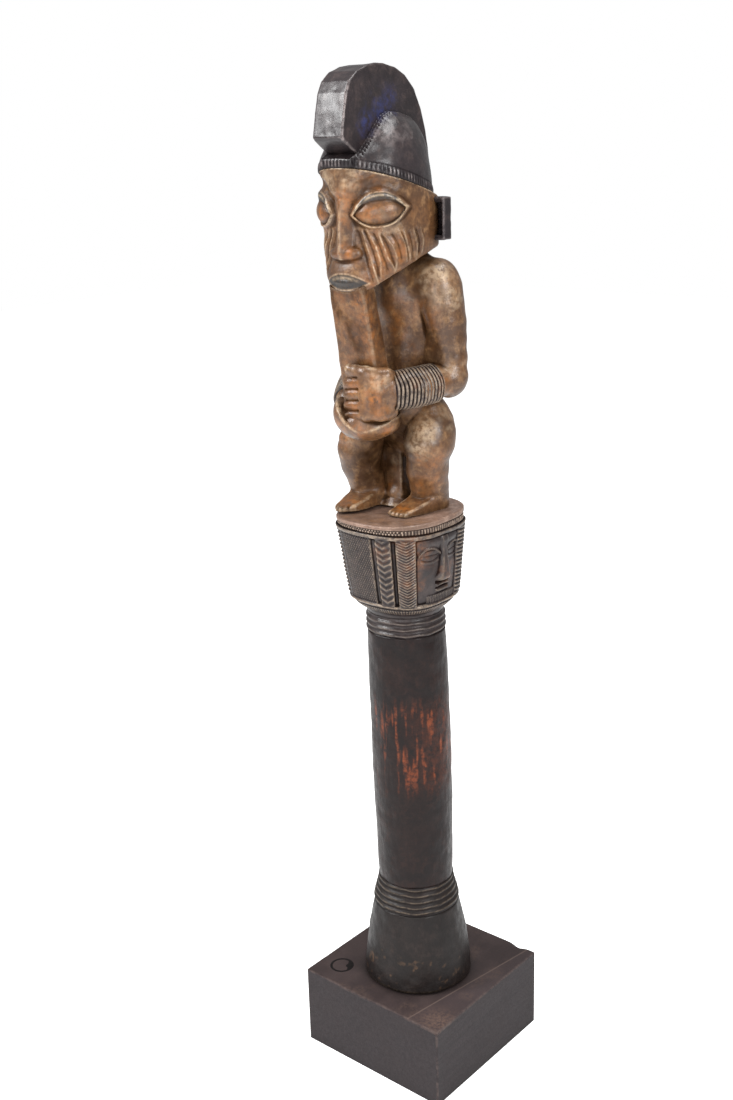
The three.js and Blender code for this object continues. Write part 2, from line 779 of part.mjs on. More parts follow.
function crestSolid(grow = 0) {
  const height = crest.top - crest.bottom;
  const length = crest.backY - crest.frontY;
  const outline = crestShares.map(([along, up]) => [
    crest.frontY + along * length,
    crest.bottom + up * height,
  ]);
  const flat = slab(outline, (crest.halfWidth + grow) * 2, grow > 0 ? 0 : crest.bevel);
  return flat.rotateX(Math.PI / 2).rotateZ(Math.PI / 2).translate(-crest.halfWidth - grow, 0, 0);
}

function capSolid() {
  const centreY = (hair.frontY + hair.backY) / 2;
  const dome = oval(hair.halfWidth, (hair.backY - hair.frontY) / 2, hair.domeHeight)
    .translate(0, centreY, head.hairline - hair.sink);
  return cut(dome, halfSpace({ ...hairPlane, z: head.hairline + seam, above: false }), crestSolid(seam));
}

piece("plinth", plinthSolid(), finish(wood.figure, matt), figure).position.z = -plinth.thickness;
piece("post", postSolid(), finish(wood.figure, matt), figure);
piece("left_leg", leftSide(legSolid()), finish(wood.figure, matt), figure);
piece("right_leg", rightSide(legSolid()), finish(wood.figure, matt), figure);
piece("torso", torsoSolid(), finish(wood.figure, matt), body);
const leftArm = joined(armTube(leftForearm), handSolid(upperHand));
piece("left_arm", cut(leftArm, beardSolid(seam)), finish(wood.figure, matt), body);
const rightArm = joined(mirrored(armTube(rightForearm)), handSolid(lowerHand));
const aboveIt = [beardSolid(seam), handSolid(upperHand, seam), armRoom(leftForearm)];
piece("right_arm", cut(rightArm, ...aboveIt), finish(wood.figure, matt), body);
piece("left_bracelets", braceletSolid(leftForearm, upperHand), finish(wood.dark, satin), body);
const rightSleeve = mirrored(braceletSolid(rightForearm, { ...lowerHand, x: -lowerHand.x }));
piece("right_bracelets", cut(rightSleeve, handSolid(upperHand, seam)), finish(wood.dark, satin), body);
piece("beard", cut(beardSolid(), headWithLips(seam)), finish(wood.figure, matt), body);
piece("head", headSolid(), finish(wood.figure, matt), body);
piece("left_ear", earSolid(), finish(wood.dark, satin), body);
piece("right_ear", mirrored(earSolid()), finish(wood.dark, satin), body);
piece("hair_cap", capSolid(), finish(wood.dark, satin), body);
piece("hair_crest", crestSolid(), finish(wood.dark, satin), body);

export default scepter;
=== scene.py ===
import math
from functools import reduce

import bpy
import numpy as np
import openvdb
from mathutils import Matrix, Vector


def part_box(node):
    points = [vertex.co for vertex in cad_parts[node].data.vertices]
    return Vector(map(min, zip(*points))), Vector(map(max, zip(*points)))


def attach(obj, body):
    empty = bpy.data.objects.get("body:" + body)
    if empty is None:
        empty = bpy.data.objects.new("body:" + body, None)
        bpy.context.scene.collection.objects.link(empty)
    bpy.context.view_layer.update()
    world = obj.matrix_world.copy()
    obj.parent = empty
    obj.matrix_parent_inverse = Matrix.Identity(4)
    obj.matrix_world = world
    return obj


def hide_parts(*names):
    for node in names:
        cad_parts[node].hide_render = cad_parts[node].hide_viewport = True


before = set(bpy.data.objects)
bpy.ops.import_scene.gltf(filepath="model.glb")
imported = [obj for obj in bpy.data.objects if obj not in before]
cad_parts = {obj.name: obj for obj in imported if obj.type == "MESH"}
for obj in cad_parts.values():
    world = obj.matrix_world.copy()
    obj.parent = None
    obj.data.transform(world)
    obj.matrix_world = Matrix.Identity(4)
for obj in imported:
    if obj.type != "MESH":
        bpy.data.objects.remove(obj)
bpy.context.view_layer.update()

MM = 0.001
SEED = 7
COARSE = 1
TAU = 2 * np.pi
FAR = 8.0  # distance at which a carving's field starts


def top_of(node):
    """The middle of a node's top, in millimetres."""
    low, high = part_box(node)
    return np.array([(low.x + high.x) / 2, (low.y + high.y) / 2, high.z]) / MM


FIGURE = top_of("plinth")  # the figure's origin, from which its places are given
BLOCK_TOP = top_of("base_block")[2]

# Small maths


def smooth(low, high, value):
    t = np.clip((value - low) / (high - low), 0, 1)
    return t * t * (3 - 2 * t)


def bell(value, width):
    return np.exp(-((value / width) ** 2))


def within(value, low, high, soft):
    return smooth(low - soft / 2, low + soft / 2, value) * smooth(high + soft / 2, high - soft / 2, value)


def wave(turns):
    return 0.5 + 0.5 * np.cos(TAU * turns)


def most(*masks):
    """The strongest of some masks, from 0 to 1."""
    return np.clip(reduce(np.maximum, masks), 0, 1)


def hypot3(x, y, z):
    return np.sqrt(x * x + y * y + z * z)


def pairs(rows):
    return zip(rows, rows[1:])


def trilinear(field, base, share):
    """A field's values between its points. Past its end it starts again."""
    total = 0
    for corner in np.ndindex(2, 2, 2):
        index = tuple((base[..., i] + corner[i]) % field.shape[i] for i in range(3))
        weight = 1
        for i in range(3):
            weight = weight * (share[..., i] if corner[i] else 1 - share[..., i])
        total = total + weight * field[index]
    return total


lattice = np.random.default_rng(SEED).random((24, 24, 24)).astype(np.float32) * 2 - 1


def noise(points, size, octaves=1):
    """Smooth random values in space. Each octave has half the size and height of the one before."""
    total = 0
    for octave in range(octaves):
        at = np.asarray(points) / size * 2**octave + 5.37 * octave
        base = np.floor(at).astype(int)
        total = total + 0.5**octave * trilinear(lattice, base, smooth(0, 1, at - base))
    return total


def blobs(points, spots):
    """Soft round patches from [x, y, z, radius, strength] rows."""
    total = np.zeros(len(points))
    for *centre, radius, strength in spots:
        total = np.maximum(total, strength * bell(np.linalg.norm(points - centre, axis=1), radius))
    return np.clip(total + 0.25 * noise(points, 4.0, 2) * (total > 0.05), 0, 1)


# Forms give signed distances at x, y and z, and are negative inside


def melt(a, b, k):
    """The union of two distances, softened over k."""
    h = np.maximum(k - np.abs(a - b), 0) / k
    return np.minimum(a, b) - h * h * k / 4


def rounded(radius, *sides):
    """The space inside all the sides, with rounded edges."""
    sides = [side + radius for side in sides]
    far = np.sqrt(sum(np.maximum(side, 0) ** 2 for side in sides))
    return far + np.minimum(reduce(np.maximum, sides), 0) - radius


def soft_box(cx, cy, cz, hx, hy, hz, radius):
    """A box with rounded edges, from its centre and half sizes."""
    return lambda x, y, z: rounded(radius, np.abs(x - cx) - hx, np.abs(y - cy) - hy, np.abs(z - cz) - hz)


def ball(cx, cy, cz, rx, ry, rz, turn=0.0):
    """An ellipsoid, turned about the upright axis."""
    c, s = math.cos(turn), math.sin(turn)

    def form(x, y, z):
        u, v, w = x - cx, y - cy, z - cz
        p, q = u * c + v * s, v * c - u * s
        far = hypot3(p / rx, q / ry, w / rz)
        return far * (far - 1) / np.maximum(hypot3(p / rx**2, q / ry**2, w / rz**2), 1e-4)

    return form


def rod(start, end):
    """A round bar between two [x, y, z, radius] stations."""
    run = np.subtract(end, start)
    square = run[:3] @ run[:3]

    def form(x, y, z):
        u, v, w = x - start[0], y - start[1], z - start[2]
        h = np.clip((u * run[0] + v * run[1] + w * run[2]) / square, 0, 1)
        return hypot3(u - h * run[0], v - h * run[1], w - h * run[2]) - start[3] - run[3] * h

    return form


def stack(heights, *rows):
    """Superelliptic rings. Rows of half width, half depth, middle in y, front and back exponent."""

    def form(x, y, z):
        hx, hy, middle, front, back = (np.interp(z, heights, row).astype(np.float32) for row in rows)
        u, v = np.abs(x), y - middle
        n = np.where(v < 0, front, back)
        rho = ((u / hx) ** n + (np.abs(v) / hy) ** n) ** (1 / n)
        side = np.sqrt(u * u + v * v) * (1 - 1 / np.maximum(rho, 0.05))
        return np.maximum(side, np.maximum(z - heights[-1], heights[0] - z))

    return form


def polygon(corners, across, up):
    """Signed distance to a closed outline in a plane."""
    best = np.full(np.broadcast(across, up).shape, 1e9)
    inside = np.zeros(best.shape, bool)
    for (a0, b0), (a1, b1) in zip(corners, np.roll(corners, -1, 0)):
        ea, eb = a1 - a0, b1 - b0
        h = np.clip(((across - a0) * ea + (up - b0) * eb) / (ea * ea + eb * eb), 0, 1)
        best = np.minimum(best, (across - a0 - h * ea) ** 2 + (up - b0 - h * eb) ** 2)
        inside ^= ((b0 > up) != (b1 > up)) & (across < a0 + ea * (up - b0) / (eb or 1e-9))
    return (np.sqrt(best) * np.where(inside, -1, 1)).astype(np.float32)


def around(rows, reach):
    """The box round the places in some rows, with room on every side."""
    places = np.array([row[:3] for row in rows], float)
    return places.min(0) - reach, places.max(0) + reach


class Clay:
    """A block of signed distances, to which forms are added and from which they are cut."""

    def __init__(self, low, high, step):
        self.step = step * COARSE
        self.low = np.array(low, float)
        counts = np.ceil((high - self.low) / self.step).astype(int) + 1
        self.axes = [(low[i] + self.step * np.arange(counts[i])).astype(np.float32) for i in range(3)]
        self.d = np.full(counts, FAR, np.float32)

    def window(self, box):
        """The slices inside a box, or the whole block, with their x, y and z."""
        cut = [slice(None)] * 3
        if box:
            first = np.maximum(0, np.floor((box[0] - self.low) / self.step)).astype(int)
            last = np.ceil((box[1] - self.low) / self.step).astype(int) + 1
            cut = [slice(a, max(a, b)) for a, b in zip(first, last)]
        x, y, z = (axis[part] for axis, part in zip(self.axes, cut))
        return tuple(cut), x[:, None, None], y[None, :, None], z[None, None, :]

    def add(self, form, box=None, k=0.01):
        cut, *at = self.window(box)
        self.d[cut] = melt(self.d[cut], form(*at), k)

    def cut(self, form, box=None, k=0.01):
        cut, *at = self.window(box)
        self.d[cut] = -melt(-self.d[cut], form(*at), k)

    def lift(self, amount, box):
        """Raises the surface by an amount at each place."""
        cut, *at = self.window(box)
        self.d[cut] -= amount(*at)

    def tube(self, stations, k, join, soft=None):
        """Adds a limb through stations. It bends over k, and joins over join or over soft(x, y, z)."""
        cut, *at = self.window(around(stations, max(row[3] for row in stations) + k + join + 2))
        limb = reduce(lambda a, b: melt(a, b, k), [rod(a, b)(*at) for a, b in pairs(stations)])
        self.d[cut] = melt(self.d[cut], limb, soft(*at) if soft else join)

    def groove(self, stations, reach, k):
        """Cuts a furrow through stations."""
        for a, b in pairs(stations):
            self.cut(rod(a, b), around([a, b], reach), k)

    def sample(self, field, points):
        q = (points - self.low) / self.step
        base = np.clip(np.floor(q).astype(int), 0, np.array(field.shape) - 2)
        return trilinear(field, base, q - base)

    def blurred(self):
        """The distances, averaged over about a millimetre each way."""
        out, n = self.d, max(1, round(1 / self.step))
        for axis in (0, 1, 2, 0, 1, 2):
            padded = np.pad(out, [(n, n) if i == axis else (0, 0) for i in range(3)], mode="edge")
            out = np.lib.stride_tricks.sliding_window_view(padded, 2 * n + 1, axis).mean(-1)
        return out

    def skin(self):
        """Points, quads, outward normals, and how sharp (above 0) or hollow (below 0) the surface is."""
        grid = openvdb.FloatGrid()
        grid.background = FAR / self.step
        grid.copyFromArray(self.d / self.step)
        points, quads = grid.convertToQuads(0.0)
        points = points * self.step + self.low
        normals = np.stack([self.sample(slope, points) for slope in np.gradient(self.d, self.step)], 1)
        normals /= np.maximum(np.linalg.norm(normals, axis=1, keepdims=True), 1e-6)
        a, b, c = (points[quads[:, i]] for i in range(3))
        if (np.cross(b - a, c - a) * normals[quads[:, 0]]).sum() < 0:
            quads = quads[:, ::-1]
        return points, quads, normals, self.sample(self.blurred(), points)


# Meshes


def mirrored(points, faces, normals, fields):
    return points * [-1, 1, 1], faces[:, ::-1], normals * [-1, 1, 1], fields


def subset(points, faces, normals, fields, keep):
    """The part of a skin whose faces are kept."""
    faces = faces[keep]
    used = np.unique(faces)
    index = np.zeros(len(points), int)
    index[used] = np.arange(len(used))
    return points[used], index[faces], normals[used], {key: v[used] for key, v in fields.items()}


def uneven(points, normals, high, size, sunk=0.0):
    """Points moved in and out a little, as by a hand-held blade."""
    return points + normals * (high * noise(points, size, 2) - sunk)[:, None]


def sheet(rows, wrap=True):
    """Quads over a grid of rows of points."""
    count_rows, count = rows.shape[:2]
    r, c = np.meshgrid(np.arange(count_rows - 1), np.arange(count if wrap else count - 1), indexing="ij")
    n = (c + 1) % count
    corners = [r * count + c, r * count + n, (r + 1) * count + n, (r + 1) * count + c]
    return np.stack(corners, -1).reshape(-1, 4)


def place(node, slot, material, points, faces, normals, fields, name=None):
    """Puts a piece in a node's stead. Its fields are numbers that its material reads at each point."""
    name = name or node + "_carving"
    mesh = bpy.data.meshes.new(name)
    mesh.from_pydata((points * MM).tolist(), [], faces if isinstance(faces, list) else faces.tolist())
    mesh.polygons.foreach_set("use_smooth", [True] * len(mesh.polygons))
    for key, values in fields.items():
        attribute = mesh.attributes.new(key, "FLOAT", "POINT")
        attribute.data.foreach_set("value", np.asarray(values, np.float32).ravel())
    mesh.update()
    if normals is not None:
        mesh.normals_split_custom_set_from_vertices(normals.tolist())
    mesh.materials.append(material)
    piece = bpy.data.objects.new(name, mesh)
    bpy.context.scene.collection.objects.link(piece)
    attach(piece, "root")
    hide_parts(node)


# Materials


def srgb(r, g, b):
    return (*(((v / 255 + 0.055) / 1.055) ** 2.4 for v in (r, g, b)), 1.0)


class Nodes:
    """Short calls for building a material. Sizes and depths are in millimetres."""

    def __init__(self, name):
        self.material = bpy.data.materials.new(name)
        self.material.use_nodes = True
        self.tree = self.material.node_tree
        metres = self.node("TexCoord", "Object", {})
        self.mm = self.node("VectorMath", 0, {0: metres, "Scale": 1 / MM}, operation="SCALE")

    def link(self, value, socket):
        if isinstance(value, bpy.types.NodeSocket):
            self.tree.links.new(value, socket)
        else:
            socket.default_value = value

    def node(self, kind, output, inputs, **settings):
        node = self.tree.nodes.new("ShaderNode" + kind)
        for key, value in settings.items():
            setattr(node, key, value)
        for key, value in inputs.items():
            self.link(value, node.inputs[key])
        return node.outputs[output]

    def surface(self, inputs):
        for key, value in inputs.items():
            self.link(value, self.tree.nodes["Principled BSDF"].inputs[key])
        return self.material

    def attribute(self, name):
        return self.node("Attribute", "Fac", {}, attribute_name=name)

    def math(self, operation, a, b=0.0):
        return self.node("Math", 0, {0: a, 1: b}, operation=operation)

    def times(self, a, b):
        return self.math("MULTIPLY", a, b)

    def noise(self, size, detail, rough, along=None, warp=0.0):
        at = self.mm
        if along:
            at = self.node("VectorMath", 0, {0: at, 1: along}, operation="MULTIPLY")
        values = {"Vector": at, "Scale": 1 / size, "Detail": detail, "Roughness": rough, "Distortion": warp}
        return self.node("TexNoise", "Fac", values)

    def ramp(self, value, low, high, to_low=0.0, to_high=1.0):
        values = {"Value": value, "From Min": low, "From Max": high, "To Min": to_low, "To Max": to_high}
        return self.node("MapRange", "Result", values, interpolation_type="SMOOTHSTEP")

    def layers(self, colour, rows):
        """A colour with others laid over it, from [share, colour] rows."""
        for share, over in rows:
            colour = self.node("Mix", "Result", {"Factor": share, "A": colour, "B": over}, data_type="RGBA")
        return colour

    def hidden(self, distance, low, high, to_low, to_high):
        """A ramp over how open a place is to light."""
        return self.ramp(self.node("AmbientOcclusion", "AO", {"Distance": distance * MM}, samples=6),
                         low, high, to_low, to_high)

    def bumps(self, rows):
        """A normal from [height, depth, strength] rows, each on the one before."""
        values = {}
        for height, depth, strength in rows:
            values |= {"Height": height, "Distance": depth * MM, "Strength": strength}
            values["Normal"] = self.node("Bump", "Normal", values)
        return values["Normal"]


BLACK = (0, 0, 0)


def carved_wood(name, deep, mid, light, edge, rub=BLACK, stain=BLACK, shade_and_grime_weight=0.75, gloss=(0.34, 0.52),
                facet=0.25, polish=0.25, mottle=0.5, shine=0.3, grit=0.6):
    """Hand-cut wood with patina, painted shade in its hollows and painted highlights. It reads the fields
    sharp, hollow, rub and stain, which run from 0 to 1.
    """
    n = Nodes(name)
    deep, mid, light, edge, rub, stain = (srgb(*colour) for colour in (deep, mid, light, edge, rub, stain))
    dark = (*(0.3 * v for v in deep[:3]), 1.0)
    patch = n.noise(6.0, 5.0, 0.62, warp=0.4)
    small = n.noise(1.9, 5.0, 0.7)
    grain = n.noise(1.1, 4.0, 0.6, along=(1.0, 1.0, 0.09))
    # Painted shade, with some grime: darker where ambient occlusion finds the place closed in and where the
    # hollow field is high
    hidden = n.hidden(7.0, 0.3, 0.9, 1.0, 0.0)
    painted_shade_and_grime = n.math("MAXIMUM", n.times(n.attribute("hollow"), shade_and_grime_weight), n.times(hidden, shade_and_grime_weight * 0.9))
    colour = n.layers(deep, [
        (n.ramp(n.noise(17.0, 4.0, 0.6), 0.36, 0.64), mid),
        (n.ramp(patch, 0.46, 0.7, 0.0, 0.7), light),
        (n.ramp(small, 0.38, 0.56, mottle, 0.0), deep),
        (n.ramp(small, 0.56, 0.7, 0.0, mottle * 0.6), light),
        (n.ramp(grain, 0.35, 0.6, 0.3, 0.0), deep),
        (n.times(n.attribute("rub"), n.ramp(n.noise(2.6, 4.0, 0.6), 0.28, 0.72)), rub),
        (n.ramp(n.noise(0.6, 2.0, 0.6), 0.6, 0.74, 0.0, 0.45), dark),
        (n.times(n.attribute("stain"), n.ramp(n.noise(1.3, 4.0, 0.7), 0.35, 0.65, 0.72, 1.0)), stain),
        # Worn edges and painted highlights, both from the sharp field, in the edge colour
        (n.times(n.attribute("sharp"), n.ramp(n.noise(2.2, 4.0, 0.65), 0.34, 0.6, 0.15, 0.85)), edge),
        # The painted shade, with some grime, laid over the colour in a dark tone
        (n.times(painted_shade_and_grime, n.ramp(patch, 0.2, 0.6, 1.0, 0.85)), dark),
    ])
    rough = n.ramp(n.noise(3.1, 4.0, 0.6), 0.3, 0.7, *gloss)
    free_of_shade_and_grime = n.math("SUBTRACT", 1.0, painted_shade_and_grime)
    facets = n.node("TexVoronoi", "Distance", {"Scale": 1 / 4.6, "Vector": n.mm}, feature="SMOOTH_F1")
    normal = n.bumps([
        (facets, 0.7, facet),
        (n.noise(6.0, 2.0, 0.4), 0.9, facet * 0.7),
        (n.noise(1.0, 5.0, 0.65), 0.16, grit),
        (grain, 0.1, 0.35),
    ])
    return n.surface({
        "Base Color": colour,
        "Roughness": n.math("ADD", rough, n.times(painted_shade_and_grime, 0.25)),
        "Specular IOR Level": n.times(free_of_shade_and_grime, shine),
        "Coat Weight": n.times(free_of_shade_and_grime, polish),
        "Coat Roughness": 0.29,
        "Normal": normal,
        "Coat Normal": normal,
    })


figure_wood = carved_wood(
    "figure_wood", (70, 46, 28), (110, 75, 45), (148, 112, 76), (208, 182, 150), rub=(152, 92, 38),
    stain=(34, 33, 32), gloss=(0.3, 0.46), polish=0.5, mottle=0.62, shade_and_grime_weight=0.97,
)
dark_wood = carved_wood(
    "dark_wood", (32, 26, 28), (46, 38, 40), (68, 56, 54), (146, 134, 132), rub=(44, 50, 96),
    gloss=(0.3, 0.46), facet=0.4, polish=0.42, grit=0.09,
)
capital_wood = carved_wood(
    "capital_wood", (32, 24, 24), (47, 37, 36), (66, 54, 52), (142, 124, 106), rub=(140, 86, 46), shade_and_grime_weight=0.92,
    gloss=(0.32, 0.48), facet=0.15, polish=0.4,
)
plate_wood = carved_wood(
    "plate_wood", (100, 78, 66), (136, 109, 95), (166, 139, 124), (188, 164, 144), rub=(146, 108, 78),
    stain=(56, 46, 41), facet=0.3,
)
shaft_wood = carved_wood(
    "shaft_wood", (19, 12, 12), (30, 18, 16), (42, 26, 22), (96, 74, 60), rub=(118, 58, 32), shade_and_grime_weight=0.5,
    gloss=(0.32, 0.48), facet=0.3, polish=0.16, shine=0.15,
)
foot_wood = carved_wood(
    "foot_wood", (21, 16, 15), (29, 22, 20), (42, 33, 30), (140, 122, 102), rub=(84, 63, 46), shade_and_grime_weight=0.7,
    gloss=(0.38, 0.54), facet=0.3, polish=0.1, shine=0.22,
)
plug_wood = carved_wood(
    "plug_wood", (16, 13, 13), (22, 18, 18), (28, 24, 24), (40, 34, 33), shade_and_grime_weight=0.4, gloss=(0.5, 0.65),
    facet=0.1, polish=0.0, shine=0.15,
)

# The head: its left half is carved and then mirrored

HEAD_FRONT, HEAD_BACK, HEAD_WIDE = -37.6, 12.5, 23.5
HEAD_LOW, HEAD_TALL = 103.5, 55.3
FRONT_EXPONENT = 3.1
HEAD_STEP = 0.42
HAIRLINE, HAIR_SLOPE = 158.8, 0.31  # the hairline's height at the head's front, and its fall to the back

# Shares of the head's sizes: height, half width, how far front and back are drawn in, and exponent of the
# front. The last number is the back's exponent
head_rows = np.array([
    (0, 0.62, 0.06, 0.2, 0.62, 2.5), (0.12, 0.8, 0.07, 0.1, 0.68, 2.6), (0.24, 0.92, 0.08, 0.03, 0.74, 2.9),
    (0.38, 0.98, 0.09, 0, 0.8, 3.5), (0.55, 1, 0.1, 0, 0.86, 3.6), (0.7, 1, 0.07, 0, 0.86, 3.5),
    (0.82, 0.985, 0.01, 0, 0.8, 3.0), (1, 0.94, 0, 0.01, 0.69, 2.5),
])
up, wide, front_in, back_in, square, back_exponent = head_rows.T
front = HEAD_FRONT + front_in * (HEAD_BACK - HEAD_FRONT)
back = HEAD_BACK - back_in * (HEAD_BACK - HEAD_FRONT)
head_form = stack(
    HEAD_LOW + up * HEAD_TALL, wide * HEAD_WIDE, (back - front) / 2, (front + back) / 2,
    square * FRONT_EXPONENT, back_exponent,
)


def over_hairline(y, z):
    return z - (HAIRLINE - HAIR_SLOPE * (y - HEAD_FRONT))


def hair_plane(offset, sign):
    """A cut above the hairline with sign -1, or below it with sign 1."""
    return lambda x, y, z: sign * (over_hairline(y, z) + offset) / math.hypot(1, HAIR_SLOPE)


EYE_AT = np.array([15.2, -28.0, 140.6])
EYE_TURN, EYE_TILT = 0.66, 0.12
cos_turn, sin_turn = math.cos(EYE_TURN), math.sin(EYE_TURN)
cos_tilt, sin_tilt = math.cos(EYE_TILT), math.sin(EYE_TILT)
# Across the eye, up it and out of it
eye_axes = np.array([
    (cos_turn * cos_tilt, sin_turn * cos_tilt, sin_tilt),
    (-cos_turn * sin_tilt, -sin_turn * sin_tilt, cos_tilt),
    (sin_turn, -cos_turn, 0),
])


def eye_point(a, b, c, radius):
    return (*(EYE_AT + np.array([a, b, c]) @ eye_axes), radius)


def lens(a, b, half, up, down, fullness):
    """Signed distance to an almond whose halves are arcs of different heights."""
    share = 1 - np.abs(a / half) ** fullness
    return np.maximum(b - up * share, -b - down * share) * 0.92


def eye_parts(x, y, z):
    """Across, up and out of the eye, the distances to its rim and its ball, and where its upper lid is."""
    u, v, w = x - EYE_AT[0], y - EYE_AT[1], z - EYE_AT[2]
    a, b, c = (row[0] * u + row[1] * v + row[2] * w for row in eye_axes)
    upper = smooth(-0.8, 0.6, b - 0.12 * np.abs(a) + 0.6)
    return a, b, c, lens(a, b, 12.2, 8.1, 6.7, 2.3), lens(a, b + 0.4, 11.0, 4.7, 5.2, 2.7), upper


def eye_form(x, y, z):
    a, b, c, rim, eyeball, upper = eye_parts(x, y, z)
    across_lid = np.clip(rim / np.minimum(rim - eyeball, -0.3), 0, 1)
    lid = 0.9 * np.sin(np.pi * across_lid) ** 0.8 * upper
    bulge = 4.3 * np.sqrt(np.clip(1 - (a / 11.8) ** 2 - ((b + 0.6) / 6.0) ** 2, 0, 1)) - 2.3
    high = 2.2 - 0.017 * a * a - 0.012 * b * b + np.where(eyeball < 0, bulge, lid)
    high = high - 0.7 * bell(eyeball - 0.1, 0.35) + 0.3 * bell(rim + 0.2, 0.4)
    high = high + (1 - upper) * 0.5 * bell(eyeball - 1.1, 0.6) - 1.6 * np.maximum(rim - 0.2, 0)
    return (c - high) * 0.8


def lip_lens(x, z):
    return lens(x, z - 110.4, 12.2, 3.9, 3.4, 2.1)


def lip_form(x, y, z):
    q = lip_lens(x, z)
    front = -33.6 - 2.4 * np.sqrt(np.clip(1 - (x / 15.0) ** 2, 0, 1)) * smooth(0.4, -3.2, q)
    front = front + 0.022 * x * x + 1.6 * np.maximum(q, 0) - 0.45 * bell(q + 0.2, 0.35)
    return (front - y) * 0.85


# The nose as [height, half width, ridge, slope of its sides]
nose_rows = np.array([
    (119, 3.6, -35, 0.5), (120.5, 4.2, -37.2, 0.62), (123.5, 4.6, -38.2, 0.78), (127, 4.8, -37.9, 0.95),
    (132, 4.8, -37.6, 1), (140, 4.4, -37, 0.85), (145, 4.6, -36.6, 0.6), (149, 5, -34, 0.3),
]).T


def nose_form(x, y, z):
    """A wedge with a narrow ridge; its wings are added apart."""
    wide, ridge, slope = (np.interp(z, nose_rows[0], row) for row in nose_rows[1:])
    front = ridge + slope * (np.sqrt(x * x + 0.3) - 0.55)
    return np.maximum((front - y) * 0.75, (np.abs(x) - wide) * 0.8)


# Raised lines down the cheek as [angle from the front, height], from the jaw up
scar_ridges = [np.array(line, float) for line in (
    [(40.5, 110.5), (38.9, 112.8), (29.8, 124.4), (22.5, 132.4)],
    [(43.5, 112.5), (43.7, 118.8), (38.8, 126.0), (28.5, 132.8)],
    [(60.5, 114.8), (59.9, 115.9), (51.4, 120.8), (45.2, 127.6), (42.0, 131.5)],
    [(61.1, 115.4), (61.7, 120.6), (56.8, 125.8), (47.4, 131.0)],
    [(75.0, 119.5), (74.4, 121.5), (70.9, 127.1), (63.5, 132.0)],
    [(79.5, 119.6), (79.1, 121.0), (75.0, 125.6), (70.0, 131.4)],
    [(90.3, 118.6), (88.6, 126.6), (81.9, 132.4)],
    [(98.2, 121.6), (98.8, 128.0), (94.0, 132.4)],
)]
# Cut lines lie before the first ridge and halfway between neighbours
scar_cuts = [scar_ridges[0] - [5.5, 0.0]]
for first, second in pairs(scar_ridges):
    heights = np.linspace(max(first[0, 1], second[0, 1]) + 0.6, min(first[-1, 1], second[-1, 1]) - 0.3, 6)
    middle = sum(np.interp(heights, ridge[:, 1], ridge[:, 0]) for ridge in (first, second)) / 2
    scar_cuts.append(np.stack([middle, heights], 1))


def scars(x, y, z, lines, reach):
    angle = np.degrees(np.arctan2(np.abs(x), -(y + 12.0)))
    total = 0
    for line in lines:
        low, high = line[[0, -1], 1]
        ends = smooth(low - 1.5, low + 0.8, z) * smooth(high + 1.5, high - 0.8, z)
        middle = np.interp(z, line[:, 1], line[:, 0])
        total = np.maximum(total, ends * bell((angle - middle) * 0.42, reach))
    return total


def scar_lift(x, y, z):
    return 0.4 * scars(x, y, z, scar_ridges, 0.5) - 0.55 * scars(x, y, z, scar_cuts, 0.75)


def jaw_cut(x, y, z):
    return (z - 107.0 - HAIR_SLOPE * (y + 33) - 0.5 * np.maximum(np.abs(x) - 11.5, 0)) * 0.92


# Furrows round the eye as [across, up, radius], and under it
SOCKET = [
    (-14.5, -1.5, 2.2), (-12.0, 4.0, 2.6), (-7.0, 9.6, 2.7), (0.0, 11.6, 2.3), (6.5, 10.4, 1.8),
    (12.5, 5.6, 1.3), (15.0, 0.0, 1.0),
]
UNDER_EYE = [(-11.0, -8.6), (-4.0, -11.0), (4.0, -11.2), (11.0, -8.2), (15.0, -3.0)]

head = Clay((-1.2, -42.0, 99.0), (27.5, 15.5, 162.0), HEAD_STEP)
head.add(head_form)
head.add(ball(0, -26.5, 112.5, 13.5, 8.4, 9.5), around([(0, -27, 112)], 17), 5.0)  # muzzle
head.groove([eye_point(a, b, 3.9 - 0.017 * a * a, radius) for a, b, radius in SOCKET], 9, 3.6)
head.groove([eye_point(a, b, 3.9 - 0.02 * a * a, 2.0) for a, b in UNDER_EYE], 8, 3.0)
head.groove([(7.5, -38.2, 140.0, 5.0), (9.5, -38.0, 130.0, 5.0), (13.0, -36.4, 121.0, 5.0)], 10, 3.0)
head.add(nose_form, ((-2, -42, 119.4), (12, -28, 151)), 1.0)
head.add(ball(5.2, -34.0, 122.7, 3.8, 2.0, 2.7, 0.5), around([(5.6, -33.8, 123.2)], 8), 1.2)
head.add(eye_form, around([EYE_AT], 17), 0.7)
head.add(lip_form, ((-2, -41, 104), (14, -26, 116)), 0.5)
lip_line = [
    (x, -37.3 + 0.022 * x * x, 114.9 - 3.9 * (x / 12.2) ** 2, 0.7)
    for x in (-2.0, 1.5, 4.5, 7.5, 10.5, 13.0)
]
head.groove(lip_line, 3, 0.7)
head.lift(scar_lift, ((4, -40, 104), (27, 4, 137)))
head.cut(hair_plane(-0.1, -1), k=0.3)
head.cut(jaw_cut, k=0.5)

